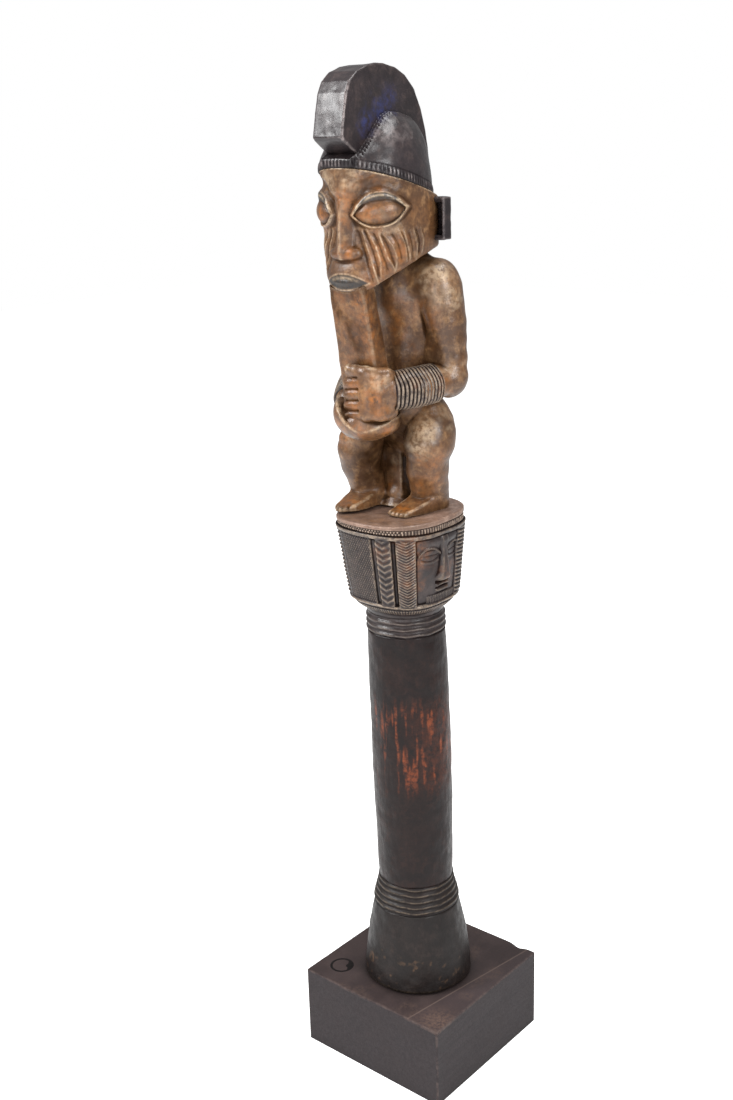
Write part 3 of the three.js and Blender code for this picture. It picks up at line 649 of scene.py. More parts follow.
points, quads, normals, fine = head.skin()
left_half = points[quads][:, :, 0].mean(1) > -1e-3
points[:, 0] *= np.abs(points[:, 0]) >= HEAD_STEP * 0.75
x, y, z = points.T
a, b, c, rim, eyeball, upper = eye_parts(x, y, z)
near_eye = (np.abs(c) < 8) & (np.abs(a) < 15)
on_cheek = (z < 134) & (y < 2)
lips = lip_lens(x, z)
lower_lid = (1 - smooth(-1, 1, b)) * bell(eyeball - 0.9, 0.22)
lid_paint = smooth(0.1, 0.5, eyeball) * smooth(-0.15, -0.6, rim) * upper
eye_paint = np.maximum(lid_paint, 0.7 * bell(eyeball - 0.1, 0.4)) * (np.abs(c) < 7)
fields = dict(
    # The convex edges, scar ridges, eye rims and lip rim are lighter with wear; the light along the nose
    # ridge, on the upper lid, across the mouth and the spots on the cheekbone and forehead are painted
    # highlights
    sharp=most(
        0.7 * smooth(0.2, 0.36, fine) * (z > 109),
        0.42 * scars(x, y, z, scar_ridges, 0.42) * on_cheek,
        0.42 * (bell(rim + 0.15, 0.25) + 0.7 * lower_lid) * near_eye,
        0.6 * bell(lips + 0.1, 0.32) * (y < -29) * (z > 105.5),
        0.5 * bell(x, 0.7) * smooth(119, 122, z) * smooth(143, 138, z) * (y < -34),
        0.55 * bell(rim + 1.4, 0.45) * smooth(0.5, 3.0, b) * smooth(9.0, 5.0, np.abs(a - 1)) * near_eye,
        0.5 * bell(z - 112.5 + 0.022 * x * x, 0.6) * smooth(9.0, 5.0, x) * (y < -33),
        blobs(points, [
            (23.0, -24.5, 132.5, 2.6, 0.7), (19.0, -29.0, 132.0, 2.4, 0.5), (5.0, -36.5, 153.0, 4.0, 0.45),
            (18.0, -29.0, 140.0, 2.0, 0.35),
        ]),
    ),
    # Painted shade in the creases and scar cuts, round the eyeball and towards its edge, under the nose and
    # in the socket under the brow
    hollow=most(
        0.75 * smooth(-0.06, -0.24, fine),
        0.36 * scars(x, y, z, scar_cuts, 0.7) * on_cheek,
        0.75 * bell(eyeball - 0.1, 0.35) * near_eye,
        0.45 * smooth(-2.4, -0.3, eyeball) * (eyeball < 0) * near_eye,
        0.8 * bell(z - 119.5 - 0.022 * x * x, 0.8) * (np.abs(x) < 8.6) * (y < -32),
        0.42 * bell(rim - 2.6, 2.0) * smooth(-1.0, 3.0, b) * near_eye,
    ),
    stain=np.maximum(eye_paint, smooth(-0.25, -0.7, lips) * (y < -30) * (z > 106.7)),
)
left = subset(points, quads, normals, fields, left_half)
right = mirrored(*left)
points, normals = (np.concatenate([left[i], right[i]]) for i in (0, 2))
quads = np.concatenate([left[1], right[1] + len(left[0])])
fields = {key: np.concatenate([left[3][key]] * 2) for key in fields}
fields["rub"] = blobs(points, [
    (4, -37, 144, 6, 1.0), (1, -37, 137, 4, 0.9), (0, -38, 124, 5, 0.6), (14, -34, 140, 5, 0.8),
    (20, -28, 141, 3, 0.4), (-14, -33, 138, 6, 0.8), (9, -36, 150, 4, 0.6), (15, -32, 126, 4, 0.7),
    (17, -29, 119, 6, 0.9), (21, -21, 122, 5, 0.9), (12, -32, 112, 4, 0.7), (22, -22, 127, 4, 0.7),
    (5, -35, 122, 4, 0.9), (14, -32, 132, 3, 0.5), (16, -31, 150, 4, 0.4),
])
points = uneven(points, normals, 0.16 * (1 - fields["stain"]), 7.0)
place("head", "figure_wood", figure_wood, points + FIGURE, quads, normals, fields)

# The hair: cap, crest and ears

HAIR_STEP = 0.4
CREST_HALF = 8.4
CAP_MIDDLE = -11.9
BRIM_MIDDLE, TICKS = -12.0, 84
# Where the cap's lobes meet the crest, as [y, z]
junction = np.array([
    (-41, 160), (-33.1, 163.8), (-31, 165.6), (-26.9, 169.5), (-22.8, 174.3), (-18.6, 178.3), (-13.9, 180.3),
    (-7.1, 179.8), (-0.3, 178.1), (8.7, 170.8), (15.7, 162.1), (17.5, 150),
])
along_junction = np.concatenate([[0], np.cumsum(np.hypot(*np.diff(junction, axis=0).T))])


def cap_form(x, y, z):
    wide = 23.2 * np.clip(1 - np.abs((y - CAP_MIDDLE) / 26.0) ** 2.15, 0.0, 1) ** (1 / 2.15)
    top = np.interp(y, *junction.T) + 0.6 - (HAIRLINE - HAIR_SLOPE * (y - HEAD_FRONT))
    out, rise = np.maximum(np.abs(x) - 8.0, 0), np.maximum(over_hairline(y, z), 0)
    rho = ((out / np.maximum(wide - 8.0, 0.8)) ** 2.15 + (rise / np.maximum(top, 0.8)) ** 1.9) ** (1 / 2.05)
    side = np.sqrt(out**2 + rise**2) * (1 - 1 / np.maximum(rho, 0.05))
    return np.maximum(np.where(rho < 0.05, -2.0, side) * 0.85, np.abs(y - CAP_MIDDLE) - 25.9)


def brim_form(x, y, z):
    """The band round the cap's foot, a little wider than the head and finely ticked."""
    along = y - BRIM_MIDDLE
    n, reach = np.where(along < 0, 2.15, 2.4), np.where(along < 0, 25.7, 25.2)
    rho = ((np.abs(x) / 23.0) ** n + (np.abs(along) / reach) ** n) ** (1 / n)
    level = over_hairline(y, z)
    tick = 0.4 * np.cos(np.arctan2(x, -along) * TICKS) * bell(level - 1.8, 1.5)
    side = np.sqrt(x * x + along**2) * (1 - 1 / np.maximum(rho, 0.05)) + 0.05 * (level - 1.6) ** 2 - tick
    return np.maximum(side, np.abs(level - 1.6) - 2.1)


def border_dashes(x, y):
    """Two rows of short cuts along the crest's foot, from 0 to 1."""
    near = np.abs(x) - CREST_HALF
    rung = wave(np.interp(y, junction[:, 0], along_junction) / 1.75)
    return np.maximum(bell(near - 0.9, 0.42), bell(near - 2.5, 0.5)) * smooth(0.35, 0.8, rung)


def crest_border(x, y, z):
    """A raised stitched border on the cap along the crest."""
    return 0.38 * within(np.abs(x) - CREST_HALF, -0.6, 3.3, 0.8) - 0.5 * border_dashes(x, y)


cap = Clay((-26.5, -41.5, 140.0), (26.5, 17.5, 184.0), HAIR_STEP)
cap.add(cap_form)
cap.add(brim_form, k=0.6)
cap.lift(crest_border, ((-13.5, -40, 150), (13.5, 17, 184)))
cap.cut(hair_plane(0.1, 1), k=0.3)
points, quads, normals, fine = cap.skin()
x, y, z = points.T
level = over_hairline(y, z)
ticks = np.cos(np.arctan2(x, BRIM_MIDDLE - y) * TICKS)
outside = smooth(0.7, 0.85, np.hypot(x / 23.4, (y - BRIM_MIDDLE) / 26.5))
on_top = smooth(4.0, 7.0, level)
lit_ticks = smooth(0.0, 0.8, ticks) * bell(level - 1.8, 1.3) * outside
lit_ticks *= smooth(-0.3, 0.3, noise(points, 5.0, 2))
painted_cap_highlights = blobs(points, [(15.0, -22.0, 171.0, 5.0, 0.6), (16.5, -13.0, 173.0, 4.0, 0.3)])
fields = dict(
    # Worn edges, and painted highlights on the lit ticks and on the lobe
    sharp=most(0.4 * smooth(0.2, 0.4, fine) * on_top + painted_cap_highlights, 0.8 * lit_ticks),
    # Painted shade in the creases, between the ticks, in the brim's grooves and in the border's dashes
    hollow=most(
        smooth(-0.06, -0.22, fine),
        smooth(0.2, -0.6, ticks) * bell(level - 1.8, 1.5) * outside,
        (bell(level + 0.1, 0.45) + bell(level - 3.9, 0.4)) * outside,
        border_dashes(x, y) * on_top,
    ),
    rub=blobs(points, [(9.5, -20, 179, 3, 0.9), (9.5, -13, 181, 3, 0.7), (9.5, -26, 174, 2.5, 0.6)]),
)
points = uneven(points, normals, 0.22, 8.0)
place("hair_cap", "dark_wood", dark_wood, points + FIGURE, quads, normals, fields)

# The crest's side outline from the foot of its front, as shares of its length and height
crest_shares = np.array([
    (0.2, 0), (0.163, 0.083), (0.02, 0.225), (0, 0.26), (0.031, 0.51), (0.06, 0.7), (0.104, 0.82),
    (0.19, 0.917), (0.298, 0.975), (0.4, 0.995), (0.488, 1), (0.622, 0.965), (0.733, 0.889), (0.842, 0.74),
    (0.921, 0.539), (0.964, 0.315), (0.991, 0.128), (1, 0),
])
crest_outline = np.array([(-31.0, 158.0), *(crest_shares * [58.9, 40.2] + [-42.8, 160.5]), (16.0, 150.0)])


def crest_form(x, y, z):
    return rounded(0.8, polygon(crest_outline, y, z), np.abs(x) - 8.35 + 0.35 * smooth(185, 201, z))


crest = Clay((-10.5, -45.5, 150.0), (10.5, 18.5, 203.0), HAIR_STEP)
crest.add(crest_form)
points, quads, normals, fine = crest.skin()
x, y, z = points.T
front_corner = smooth(-26, -32, y) * smooth(164, 168, z) * smooth(196, 188, z) * (x > 0)
fields = dict(
    sharp=most(smooth(0.14, 0.3, fine) * (0.12 + 0.7 * front_corner)),
    rub=blobs(points, [
        (8.4, -19, 182, 5, 1.0), (8.4, -12, 185, 5, 0.75), (8.4, -26, 177, 4, 0.8), (8.4, -30, 174, 3, 0.5),
    ]),
)
points = uneven(points, normals, 0.3, 9.0, 0.1)
place("hair_crest", "dark_wood", dark_wood, points + FIGURE, quads, normals, fields)

EAR_LEVEL = 135.7


def ear_hollow(x, y, z):
    """The cup between the ear's upper and lower bars, open to the front and to the side."""
    return np.maximum(np.maximum(y - 4.4, np.abs(z - EAR_LEVEL) - 6.9), x - 26.4)


ear = Clay((17.5, -3.0, 124.0), (30.0, 9.0, 147.0), HAIR_STEP)
ear.add(soft_box(23.2, 3.4, EAR_LEVEL, 4.6, 2.9, 9.2, 0.5))
ear.cut(ear_hollow, k=1.0)
for level in (-3.3, 0, 3.3):
    rib = rod((23.0, 4.1, EAR_LEVEL + level, 0.6), (26.4, 4.1, EAR_LEVEL + level, 0.6))
    ear.add(rib, ((20, -2, 128), (30, 8, 144)), 0.6)
points, quads, normals, fine = ear.skin()
x, y, z = points.T
inside = within(z, 129.0, 142.4, 0.8) * (y < 5.1) * (x < 26.6) * (y > 1.4)
fields = dict(
    sharp=0.45 * smooth(0.2, 0.42, fine) * (1 - inside),
    # Painted shade in the creases and inside the ear's cup, over a darker tone everywhere
    hollow=most(smooth(-0.05, -0.3, fine), 0.35 + 0.5 * inside),
)
left_ear = (uneven(points, normals, 0.15, 4.0), quads, normals, fields)
for node, (points, quads, normals, fields) in (("left_ear", left_ear), ("right_ear", mirrored(*left_ear))):
    place(node, "dark_wood", dark_wood, points + FIGURE, quads, normals, fields)

# The beard


def beard_form(x, y, z):
    share = (110.0 - z) / 63.0
    deep = 4.4 + share
    middle = -35.2 + 11.8 * share + deep
    lip_foot = 110.2 - 3.4 * (1 - np.abs(x / 12.2) ** 2.1)
    sides = rounded(1.6, np.abs(x) - 10.2 - 1.2 * share, np.abs(y - middle) - deep)
    return np.maximum(sides, np.maximum(z - lip_foot, 47.5 - z) * 0.9)


beard = Clay((-12.5, -38.5, 45.5), (12.5, -12.0, 112.5), 0.5)
beard.add(beard_form)
points, quads, normals, fine = beard.skin()
rub = blobs(points, [
    (7, -33, 103, 5, 0.9), (9.0, -32, 94, 6, 1.0), (9.5, -30, 86, 5, 0.8), (8, -29, 79, 4, 0.5),
    (-3, -34, 104, 5, 0.4), (2, -33, 97, 5, 0.4),
])
fields = dict(
    sharp=0.2 * smooth(0.14, 0.3, fine),
    hollow=0.62 * smooth(-0.5, 0.6, noise(points, 7.0, 3)) * (1 - rub) + 0.12,
    rub=np.maximum(rub, 0.3),
)
points = uneven(points, normals, 0.28, 9.0, 0.05)
place("beard", "figure_wood", figure_wood, points + FIGURE, quads, normals, fields)

# The body: trunk, limbs and hands are carved as one skin, then parted

BODY_STEP = 0.5
# Shares: height, half width, half depth, place in y, and part of the hips' shift to one side
trunk_rows = np.array([
    (0, 0.4, 0.3, 0.5, 1), (0.07, 0.8, 0.6, 0.45, 1), (0.16, 1, 0.85, 0.3, 1), (0.28, 0.88, 0.95, 0.05, 0.6),
    (0.44, 0.85, 0.98, -0.05, 0.2), (0.6, 0.95, 1, 0, 0), (0.76, 1.08, 1, 0.1, 0),
    (0.87, 1.1, 0.95, 0.15, 0), (0.93, 0.94, 0.84, 0.12, 0), (1, 0.5, 0.5, -0.05, 0),
])
up, wide, deep, along, aside = trunk_rows.T
trunk_levels = 24 + up * 99
trunk_rings = stack(trunk_levels, wide * 18, deep * 12.5, 5 + along * 12.5, 2.3 + 0 * up, 2.3 + 0 * up)


def trunk_form(x, y, z):
    return trunk_rings(x + 4.5 * np.interp(z, trunk_levels, aside), y, z)


# Limbs as [x, y, z, radius]
LEFT_LEG = [
    (10.2, 12.0, -1.0, 7.9), (9.9, 11.5, 5.0, 8.1), (10.6, 9.6, 12.0, 8.8), (11.3, 7.4, 20.0, 9.7),
    (12.6, 6.0, 27.5, 9.7), (13.8, 6.2, 33.0, 11.3), (13.9, 7.4, 38.0, 11.1), (12.0, 8.8, 43.0, 10.5),
    (11.0, 8.6, 48.0, 8.7), (10.5, 8.0, 52.0, 6.8),
]
RIGHT_LEG = [
    (-20.4, 4.5, -1.0, 8.4), (-20.6, 4.0, 5.0, 8.4), (-22.0, 2.0, 12.0, 8.8), (-22.9, -0.5, 20.0, 9.6),
    (-22.0, -2.6, 27.5, 10.2), (-19.8, -2.4, 33.0, 9.4), (-19.0, 0.3, 38.0, 10.0), (-19.6, 3.0, 43.0, 10.0),
    (-20.5, 4.5, 48.0, 8.6), (-20.5, 5.0, 52.0, 7.0),
]
RIGHT_CALF = [
    (-19.3, 9.0, -1.0, 6.3), (-19.5, 8.5, 12.0, 6.7), (-19.0, 8.5, 24.0, 7.2), (-18.0, 8.5, 38.0, 7.5),
]
LEFT_FORE = [(24.3, 6, 64.2, 7.4), (20.5, -9, 62.8, 8.0), (14, -22, 62, 7.6)]
RIGHT_FORE = [(-24, 5.5, 63.5, 7.2), (-18.6, -8.0, 59.4, 7.2), (-12.4, -19.2, 54.4, 6.9)]
THUMB = [(15.0, -25.5, 69.8, 3.2), (7, -30.6, 71.0, 2.6), (2.6, -31.8, 71.6, 2.2), (-1.4, -32.2, 72.4, 1.9)]
# The upper arm's shares: height, x, y and radius
ARM = [
    (0.08, 0.99, 1, 0.66), (0.14, 1, 1.05, 0.73), (0.28, 1.01, 1.15, 0.71), (0.42, 0.98, 1.05, 0.78),
    (0.55, 0.94, 0.95, 0.88), (0.68, 0.88, 0.85, 0.97), (0.8, 0.83, 0.8, 1), (0.86, 0.8, 0.8, 0.95),
]
left_arm, right_arm = (
    [(side * across * 24.5, along * 7.5, 57 + up * 60, size * 10.2) for up, across, along, size in ARM]
    for side in (1, -1)
)


def soft_high(x, y, z):
    """The arms melt into the shoulders more than lower down."""
    return 1.0 + 5.0 * smooth(92, 108, z)


body = Clay((-36.0, -39.0, -1.0), (36.0, 27.5, 125.0), BODY_STEP)
body.add(trunk_form)
body.add(ball(-2.0, 3.5, 52, 15.5, 13.0, 10), k=5.0)  # belly
body.add(ball(0, 4, 100, 19, 13, 14), k=5.0)  # chest
body.add(rod((0, 0, 100, 9.5), (0, -1, 126, 9.0)), around([(0, 0, 112)], 26), 5.0)  # neck
for stations in (LEFT_LEG, RIGHT_LEG, RIGHT_CALF):
    body.tube(stations, 2.2, 1.0)
body.add(ball(13.2, -0.4, 34.0, 8.6, 5.7, 4.4), k=2.2)  # knees
body.add(ball(-21.0, -7.6, 34.0, 8.0, 5.4, 4.4), k=2.2)
for side, arm in ((1, left_arm), (-1, right_arm)):
    body.tube(arm, 2.5, 8.0, soft_high)
# A crease beside the trunk and the hollow behind it filled, on both sides
for side in (1, -1):
    body.groove([(side * 18.6, -6.6, 93, 0.9), (side * 18.0, -4.5, 72, 1.9)], 7, 2.0)
    body.add(ball(side * 18.0, 4.5, 78, 7.0, 4.5, 14.0), k=2.0)
for stations in (LEFT_FORE, RIGHT_FORE):
    body.tube(stations, 3.0, 1.0)
body.add(ball(25.6, 7.5, 64.5, 7.6, 7.4, 7.6), k=2.0)  # elbows
body.add(ball(-25.4, 7.5, 63, 7.6, 7.4, 7.6), k=2.0)

# Upper hand: a block with a slanting back, fingers round the beard, thumb on top
palm = soft_box(5.5, -25.2, 60.4, 11.6, 7.2, 11.4, 4.0)
fingers = soft_box(1.8, -28.2, 59.3, 7.0, 5.3, 10.1, 2.4)
slits = [
    [(-6.4, -32.2, z - 0.7, radius), (-3.4, -33.8, z - 0.3, radius), (4.2, -33.7, z + 0.5, radius)]
    for z, radius in ((68.4, 0.6), (63.2, 0.5), (58.1, 0.5), (53.4, 0.5))
]
body.add(palm, around([(5.5, -26.6, 61)], 20), 1.6)
body.cut(lambda x, y, z: 21.6 - 0.6 * x + 0.8 * (y + 16), around([(16, -33, 61)], 13), 4.0)
body.add(fingers, around([(1.2, -28.4, 59)], 16), 2.6)
for slit in slits:
    body.groove(slit, 3, 1.7)
body.tube(THUMB, 1.8, 2.4)

# Lower hand: a boat-like cup under the beard's end, its rim's height given at turns round it
CUP_X, CUP_Y, CUP_RADIUS = -1.0, -21.0, 14.0
RIM_TURN = [-180, -150, -130, -117, -99, -84, -68, -53, -38, -19, 8, 40, 90, 180]
RIM_HIGH = [57.0, 57.5, 57.0, 55.2, 51.5, 46.5, 43.9, 44.6, 45.5, 47.5, 49.8, 50.5, 51.0, 57.0]
PALM_LEVEL = 49.8


def cup_turn(x, y):
    return np.degrees(np.arctan2(y - CUP_Y, x - CUP_X))


def cup_rim(x, y):
    return np.interp(cup_turn(x, y), RIM_TURN, RIM_HIGH)


def cup_floor(x, y):
    """A rim that stands over a shallow ditch, behind which the palm rises."""
    far = np.hypot(x - CUP_X, y - CUP_Y) / CUP_RADIUS
    rise = smooth(1.06, 0.9, far)
    rim = cup_rim(x, y)
    ditch = bell(far - 0.98, 0.045) * smooth(-118, -98, cup_turn(x, y))
    return rim * (1 - rise) + np.maximum(rim - 0.5, PALM_LEVEL) * rise - ditch


cup_box = ((-20.0, -38.5, 34.5), (20.0, -2.0, 62.0))
cup = Clay(*cup_box, BODY_STEP)
cup.add(ball(CUP_X, CUP_Y, 51.0, 15.5, 15.6, 13.4))
cup.add(ball(6.5, -19.0, 45.5, 7.0, 9.0, 5.0), k=2.0)
cup.cut(lambda x, y, z: (cup_floor(x, y) - z) * 0.8, k=1.1)
body.add(lambda x, y, z: cup.d, cup_box, 0.5)

# Feet: low wedges over their soles' outlines, with notches between the toes
LEFT_SOLE = [
    (1.8, -11.6), (4.5, -12.6), (9.0, -12.8), (12.6, -12.0), (15.6, -4.0), (17.4, 4.0), (18.0, 12.0),
    (15.0, 17.0), (9.5, 19.5), (5.0, 18.0), (3.0, 10.0), (3.4, 0.0),
]
RIGHT_SOLE = [
    (-25.0, -18.5), (-22.5, -20.8), (-19.0, -20.6), (-14.2, -15.8), (-12.6, -8.0), (-12.8, 0.0),
    (-14.5, 8.0), (-19.0, 13.0), (-25.0, 11.0), (-27.0, 0.0), (-26.6, -10.0),
]
NOTCHES = [
    (4.4, -12.4), (7.0, -12.9), (9.4, -12.9), (11.8, -12.6),
    (-23.4, -20.0), (-21.4, -21.0), (-19.2, -20.6), (-17.0, -18.6),
]


def foot_form(sole, toe_y):
    """A wedge that rises from the toes to the ankle."""

    def form(x, y, z):
        top = np.interp(y - toe_y, [0, 6, 15, 30], [2.2, 3.8, 6.6, 8.0])
        return rounded(1.1, polygon(sole, x, y), z - top)

    return form


body.add(foot_form(LEFT_SOLE, -12.6), ((-2, -16, -1), (24, 27, 12)), 2.4)
body.add(foot_form(RIGHT_SOLE, -20.6), ((-31, -25, -1), (-8, 18, 12)), 2.4)
for nx, ny in NOTCHES:
    body.groove([(nx, ny - 1.0, 2.0, 0.55), (nx, ny + 2.0, 3.0, 0.4)], 4, 0.6)

# The post stands on a low mound between the feet
POST = (-7.9, 9.5)
post_form = soft_box(*POST, 19.0, 5.0, 4.4, 26.0, 1.0)
mound = rod((*POST, -9.0, 17.0), (*POST, 4.0, 6.6))
body.add(post_form, around([(*POST, 0), (*POST, 42)], 9), 0.5)
body.add(mound, around([(*POST, 2)], 19), 2.5)
body.cut(lambda x, y, z: z, k=0.1)


def nearest_limb(points):
    """0 trunk, 1 left arm, 2 right arm, 3 left leg, 4 right leg, 5 post."""
    x, y, z = points.T

    def nearest(*forms):
        return reduce(np.minimum, [form(x, y, z) for form in forms])

    def rods(*limbs):
        return [rod(a, b) for stations in limbs for a, b in pairs(stations)]

    def sole(outline):
        return lambda x, y, z: np.maximum(polygon(outline, x, y), z - 6.0)

    def cup_distance(x, y, z):
        held = np.clip(points, cup.low + 0.1, [axis[-1] - 0.1 for axis in cup.axes])
        return np.where((points < cup.low).any(1), FAR + 1, cup.sample(cup.d, held))

    options = [
        trunk_form(x, y, z) - 0.5,
        nearest(palm, fingers, *rods(left_arm, LEFT_FORE, THUMB)),
        nearest(cup_distance, *rods(right_arm, RIGHT_FORE)),
        nearest(sole(LEFT_SOLE), *rods(LEFT_LEG)),
        nearest(sole(RIGHT_SOLE), *rods(RIGHT_LEG, RIGHT_CALF)),
        nearest(post_form, mound),
    ]
    return np.argmin(np.stack(options), 0)


points, quads, normals, fine = body.skin()
x, y, z = points.T
# Painted highlights along the cup's rim and on the thumb's top
cup_edge = bell(cup_rim(x, y) - 0.4 - z, 0.7) * bell(np.hypot(x - CUP_X, y - CUP_Y) - 14.2, 1.2) * (z < 58)
thumb_top = bell(np.hypot(y + 30.6, z - 73.8), 1.4) * (x > -7) * (x < 17)
# Painted shade in the finger slits and the toe notches
in_slit = [bell(np.maximum(rod(a, b)(x, y, z) + 0.3, 0), 0.35) for slit in slits for a, b in pairs(slit)]
in_notch = [bell(np.hypot(x - nx, y - ny - 0.5), 0.75) * smooth(4.2, 3.2, z) for nx, ny in NOTCHES]
# Painted shade, with some grime, between and inside the legs, under the hands, beside the beard and in the
# crease between arm and trunk
shade_and_grime_weight = blobs(points, [
    (-3, -2, 33, 14, 1.0), (3, 4, 20, 7, 0.9), (-13, 3, 20, 9, 1.0), (-13, -4, 30, 9, 0.95),
    (3, -6, 42, 9, 0.8), (18, -10, 51, 5, 0.8), (10, -14, 49, 6, 0.8), (17.5, -4, 84, 5, 0.7),
    (17.5, -6, 76, 4, 0.6), (1, 9, 12, 5, 0.7), (-12, -6, 26, 9, 0.9), (-12, -3, 14, 8, 0.8),
    (-11, -6, 38, 8, 0.9), (3, -7, 27, 5, 0.6), (12, -16, 104, 6, 0.8), (12, -12, 96, 5, 0.5),
    (-3, 16, 10, 9, 0.6), (14, -7, 70, 5, 0.6), (24, -4, 55, 4, 0.5),
])
# Painted highlights on the shoulder, knees, thigh, hip, elbow, hands and post
painted_highlights = blobs(points, [
    (24, 1, 111, 7, 0.8), (27, 2, 104, 6, 0.6), (15, -4, 34, 5, 0.85), (18, -3, 40, 6, 0.8),
    (-19, -12, 33, 3, 0.5), (31, 2, 70, 6, 0.4), (-8, -34, 40, 3, 0.5), (14, -30, 68, 4, 0.4),
    (24, 8, 46, 8, 0.25), (-7, 4, 22, 2, 0.5),
])
rubs = blobs(points, [
    (14, -31, 66, 5, 0.7), (12, -33, 60, 5, 0.9), (13, -31, 54, 5, 0.7), (2, -34, 64, 4, 0.9),
    (2, -34, 55, 4, 0.9), (22, -2, 92, 6, 0.4), (8, -9, 92, 7, 0.5), (10, -8, 84, 5, 0.4),
    (14, -3, 10, 5, 0.7), (18, 1, 25, 5, 0.6), (-6, -35, 45, 5, 0.9), (4, -34, 42, 5, 0.8),
    (13, -22, 45, 4, 0.7), (29, -2, 64, 5, 0.5), (16, -4, 28, 4, 0.8), (22, 0, 29, 4, 0.6),
    (8, -8, 4, 6, 0.9), (-19, -14, 4, 6, 0.7), (-9, 5, 20, 4, 0.8), (16, -4, 97, 5, 0.5),
    (-22, -12, 34, 5, 0.6), (14, -8, 78, 5, 0.4), (13, -2, 14, 5, 0.6), (18, 2, 18, 5, 0.5),
    (10, -8, 100, 6, 0.4), (-10, 5, 10, 4, 0.8),
])
fields = dict(
    sharp=most(0.45 * smooth(0.2, 0.36, fine), 0.65 * cup_edge, 0.7 * thumb_top, painted_highlights),
    hollow=most(smooth(-0.07, -0.26, fine), shade_and_grime_weight, *in_slit, *in_notch),
    rub=rubs * (1 - shade_and_grime_weight),
)
points = uneven(points, normals, 0.2, 8.0)
owner = nearest_limb(points)[quads[:, 0]]
for index, node in enumerate(("torso", "left_arm", "right_arm", "left_leg", "right_leg", "post")):
    limb_points, *rest = subset(points, quads, normals, fields, owner == index)
    place(node, "figure_wood", figure_wood, limb_points + FIGURE, *rest)


def unit(vectors):
    return vectors / np.linalg.norm(vectors, axis=-1, keepdims=True)


def bracelet(node, stations, share_from, share_to):
    """A sleeve of fine rings round a forearm."""
    rings, rows, sides = 14, 200 // COARSE, 128
    curve = np.polyfit([0, 0.5, 1], stations, 2)
    shares = np.linspace(share_from, share_to, rows)
    centre = np.stack([np.polyval(curve[:, i], shares) for i in range(4)], -1)
    tangent = unit(np.gradient(centre[:, :3], axis=0))
    wide = unit(np.cross(tangent, [0, 0, 1.0]))
    tall = np.cross(wide, tangent)
    angle = np.linspace(0, TAU, sides, endpoint=False)
    travel = np.linspace(0, 1, rows)[:, None]
    waver = noise(np.stack(np.broadcast_arrays(travel * 9, np.cos(angle), np.sin(angle)), -1), 1.0, 2)
    phase = travel**0.9 * rings + 0.12 * np.sin(angle * 2 + 1) + 0.1 * np.sin(angle * 5) + 0.12 * waver
    ripple = np.abs(np.sin(np.pi * phase)) ** 0.8
    edge = smooth(0, 0.03, travel) * smooth(1, 0.97, travel)
    radius = centre[:, 3:] + (0.2 + ripple) * edge - 0.6 * (1 - edge)
    out = np.cos(angle)[:, None] * wide[:, None] + np.sin(angle)[:, None] * tall[:, None]
    grid = centre[:, None, :3] + radius[..., None] * out
    fields = dict(
        sharp=smooth(0.5, 0.9, ripple) * edge,
        # Painted shade in the gaps between the rings
        hollow=smooth(0.5, 0.15, ripple),
        rub=0.4 * smooth(0.2, 0.6, noise(grid, 6.0)),
    )
    faces = sheet(grid)[:, ::-1]
    place(node, "dark_wood", capital_wood, grid.reshape(-1, 3) + FIGURE, faces, None, fields)


bracelet("left_bracelets", LEFT_FORE, 0.24, 0.99)
bracelet("right_bracelets", RIGHT_FORE, 0.4, 0.98)

# The staff: its rings lie round a bowed axis

AXIS, BOW = np.array([0.4, -3.5]), np.array([-3.4, -2.7])
SQUARE = 2.75  # exponent of the capital's level outline
RIM_HALF = 26.3  # half size at which the capital's patterns are laid out
CAP_LOW, CAP_LEDGE, CAP_RIM = 245.5, 253.6, 289.2
COLUMNS = 640 // COARSE


def bow_at(z):
    return AXIS + BOW * ((z - BLOCK_TOP) / (FIGURE[2] - BLOCK_TOP))[..., None] ** 2


def ring_points(a, z, r):
    return np.concatenate([bow_at(z) + np.stack([r * np.cos(a), r * np.sin(a)], -1), z[..., None]], -1)


def turned(node, material, slot, levels, columns, radius_of, fields_of):
    """A closed piece whose distance from the axis is given at angle and height."""
    a, z = np.meshgrid(np.linspace(-np.pi, np.pi, columns, endpoint=False), levels)
    r = radius_of(a, z)
    rings = ring_points(a, z, r)
    flat = rings.reshape(-1, 3)
    fields = {key: np.append(value, [0, 0]) for key, value in fields_of(a, z, r, flat).items()}
    last, low, high = len(flat) - columns, len(flat), len(flat) + 1
    fans = [(n, i, low) for i, n in zip(range(columns), [*range(1, columns), 0])]
    fans += [(last + i, last + n, high) for n, i, _ in fans]
    points = np.concatenate([flat, [rings[0].mean(0), rings[-1].mean(0)]])
    place(node, slot, material, points, sheet(rings).tolist() + fans, None, fields)


def superellipse(angle, exponent):
    """Distance from the centre of a unit superellipse."""
    return (np.abs(np.cos(angle)) ** exponent + np.abs(np.sin(angle)) ** exponent) ** (-1 / exponent)


arc_angle = np.linspace(-np.pi, np.pi, 2001)
arc_radius = superellipse(arc_angle, SQUARE)
arc_steps = np.hypot(np.diff(arc_radius * np.cos(arc_angle)), np.diff(arc_radius * np.sin(arc_angle)))
arc_run = np.concatenate([[0], np.cumsum(arc_steps)])


def run_of(angle):
    """Way round a unit outline of the capital."""
    return np.interp(angle, arc_angle, arc_run)


def run_at(degrees):
    return run_of(np.radians(degrees)) * RIM_HALF


def capital_half(z):
    levels = [CAP_LOW, CAP_LOW + 1.2, CAP_LEDGE, CAP_RIM - 1.0, CAP_RIM]
    return np.interp(z, levels, [18.7, 19.0, 24.3, 28.0, 28.3])


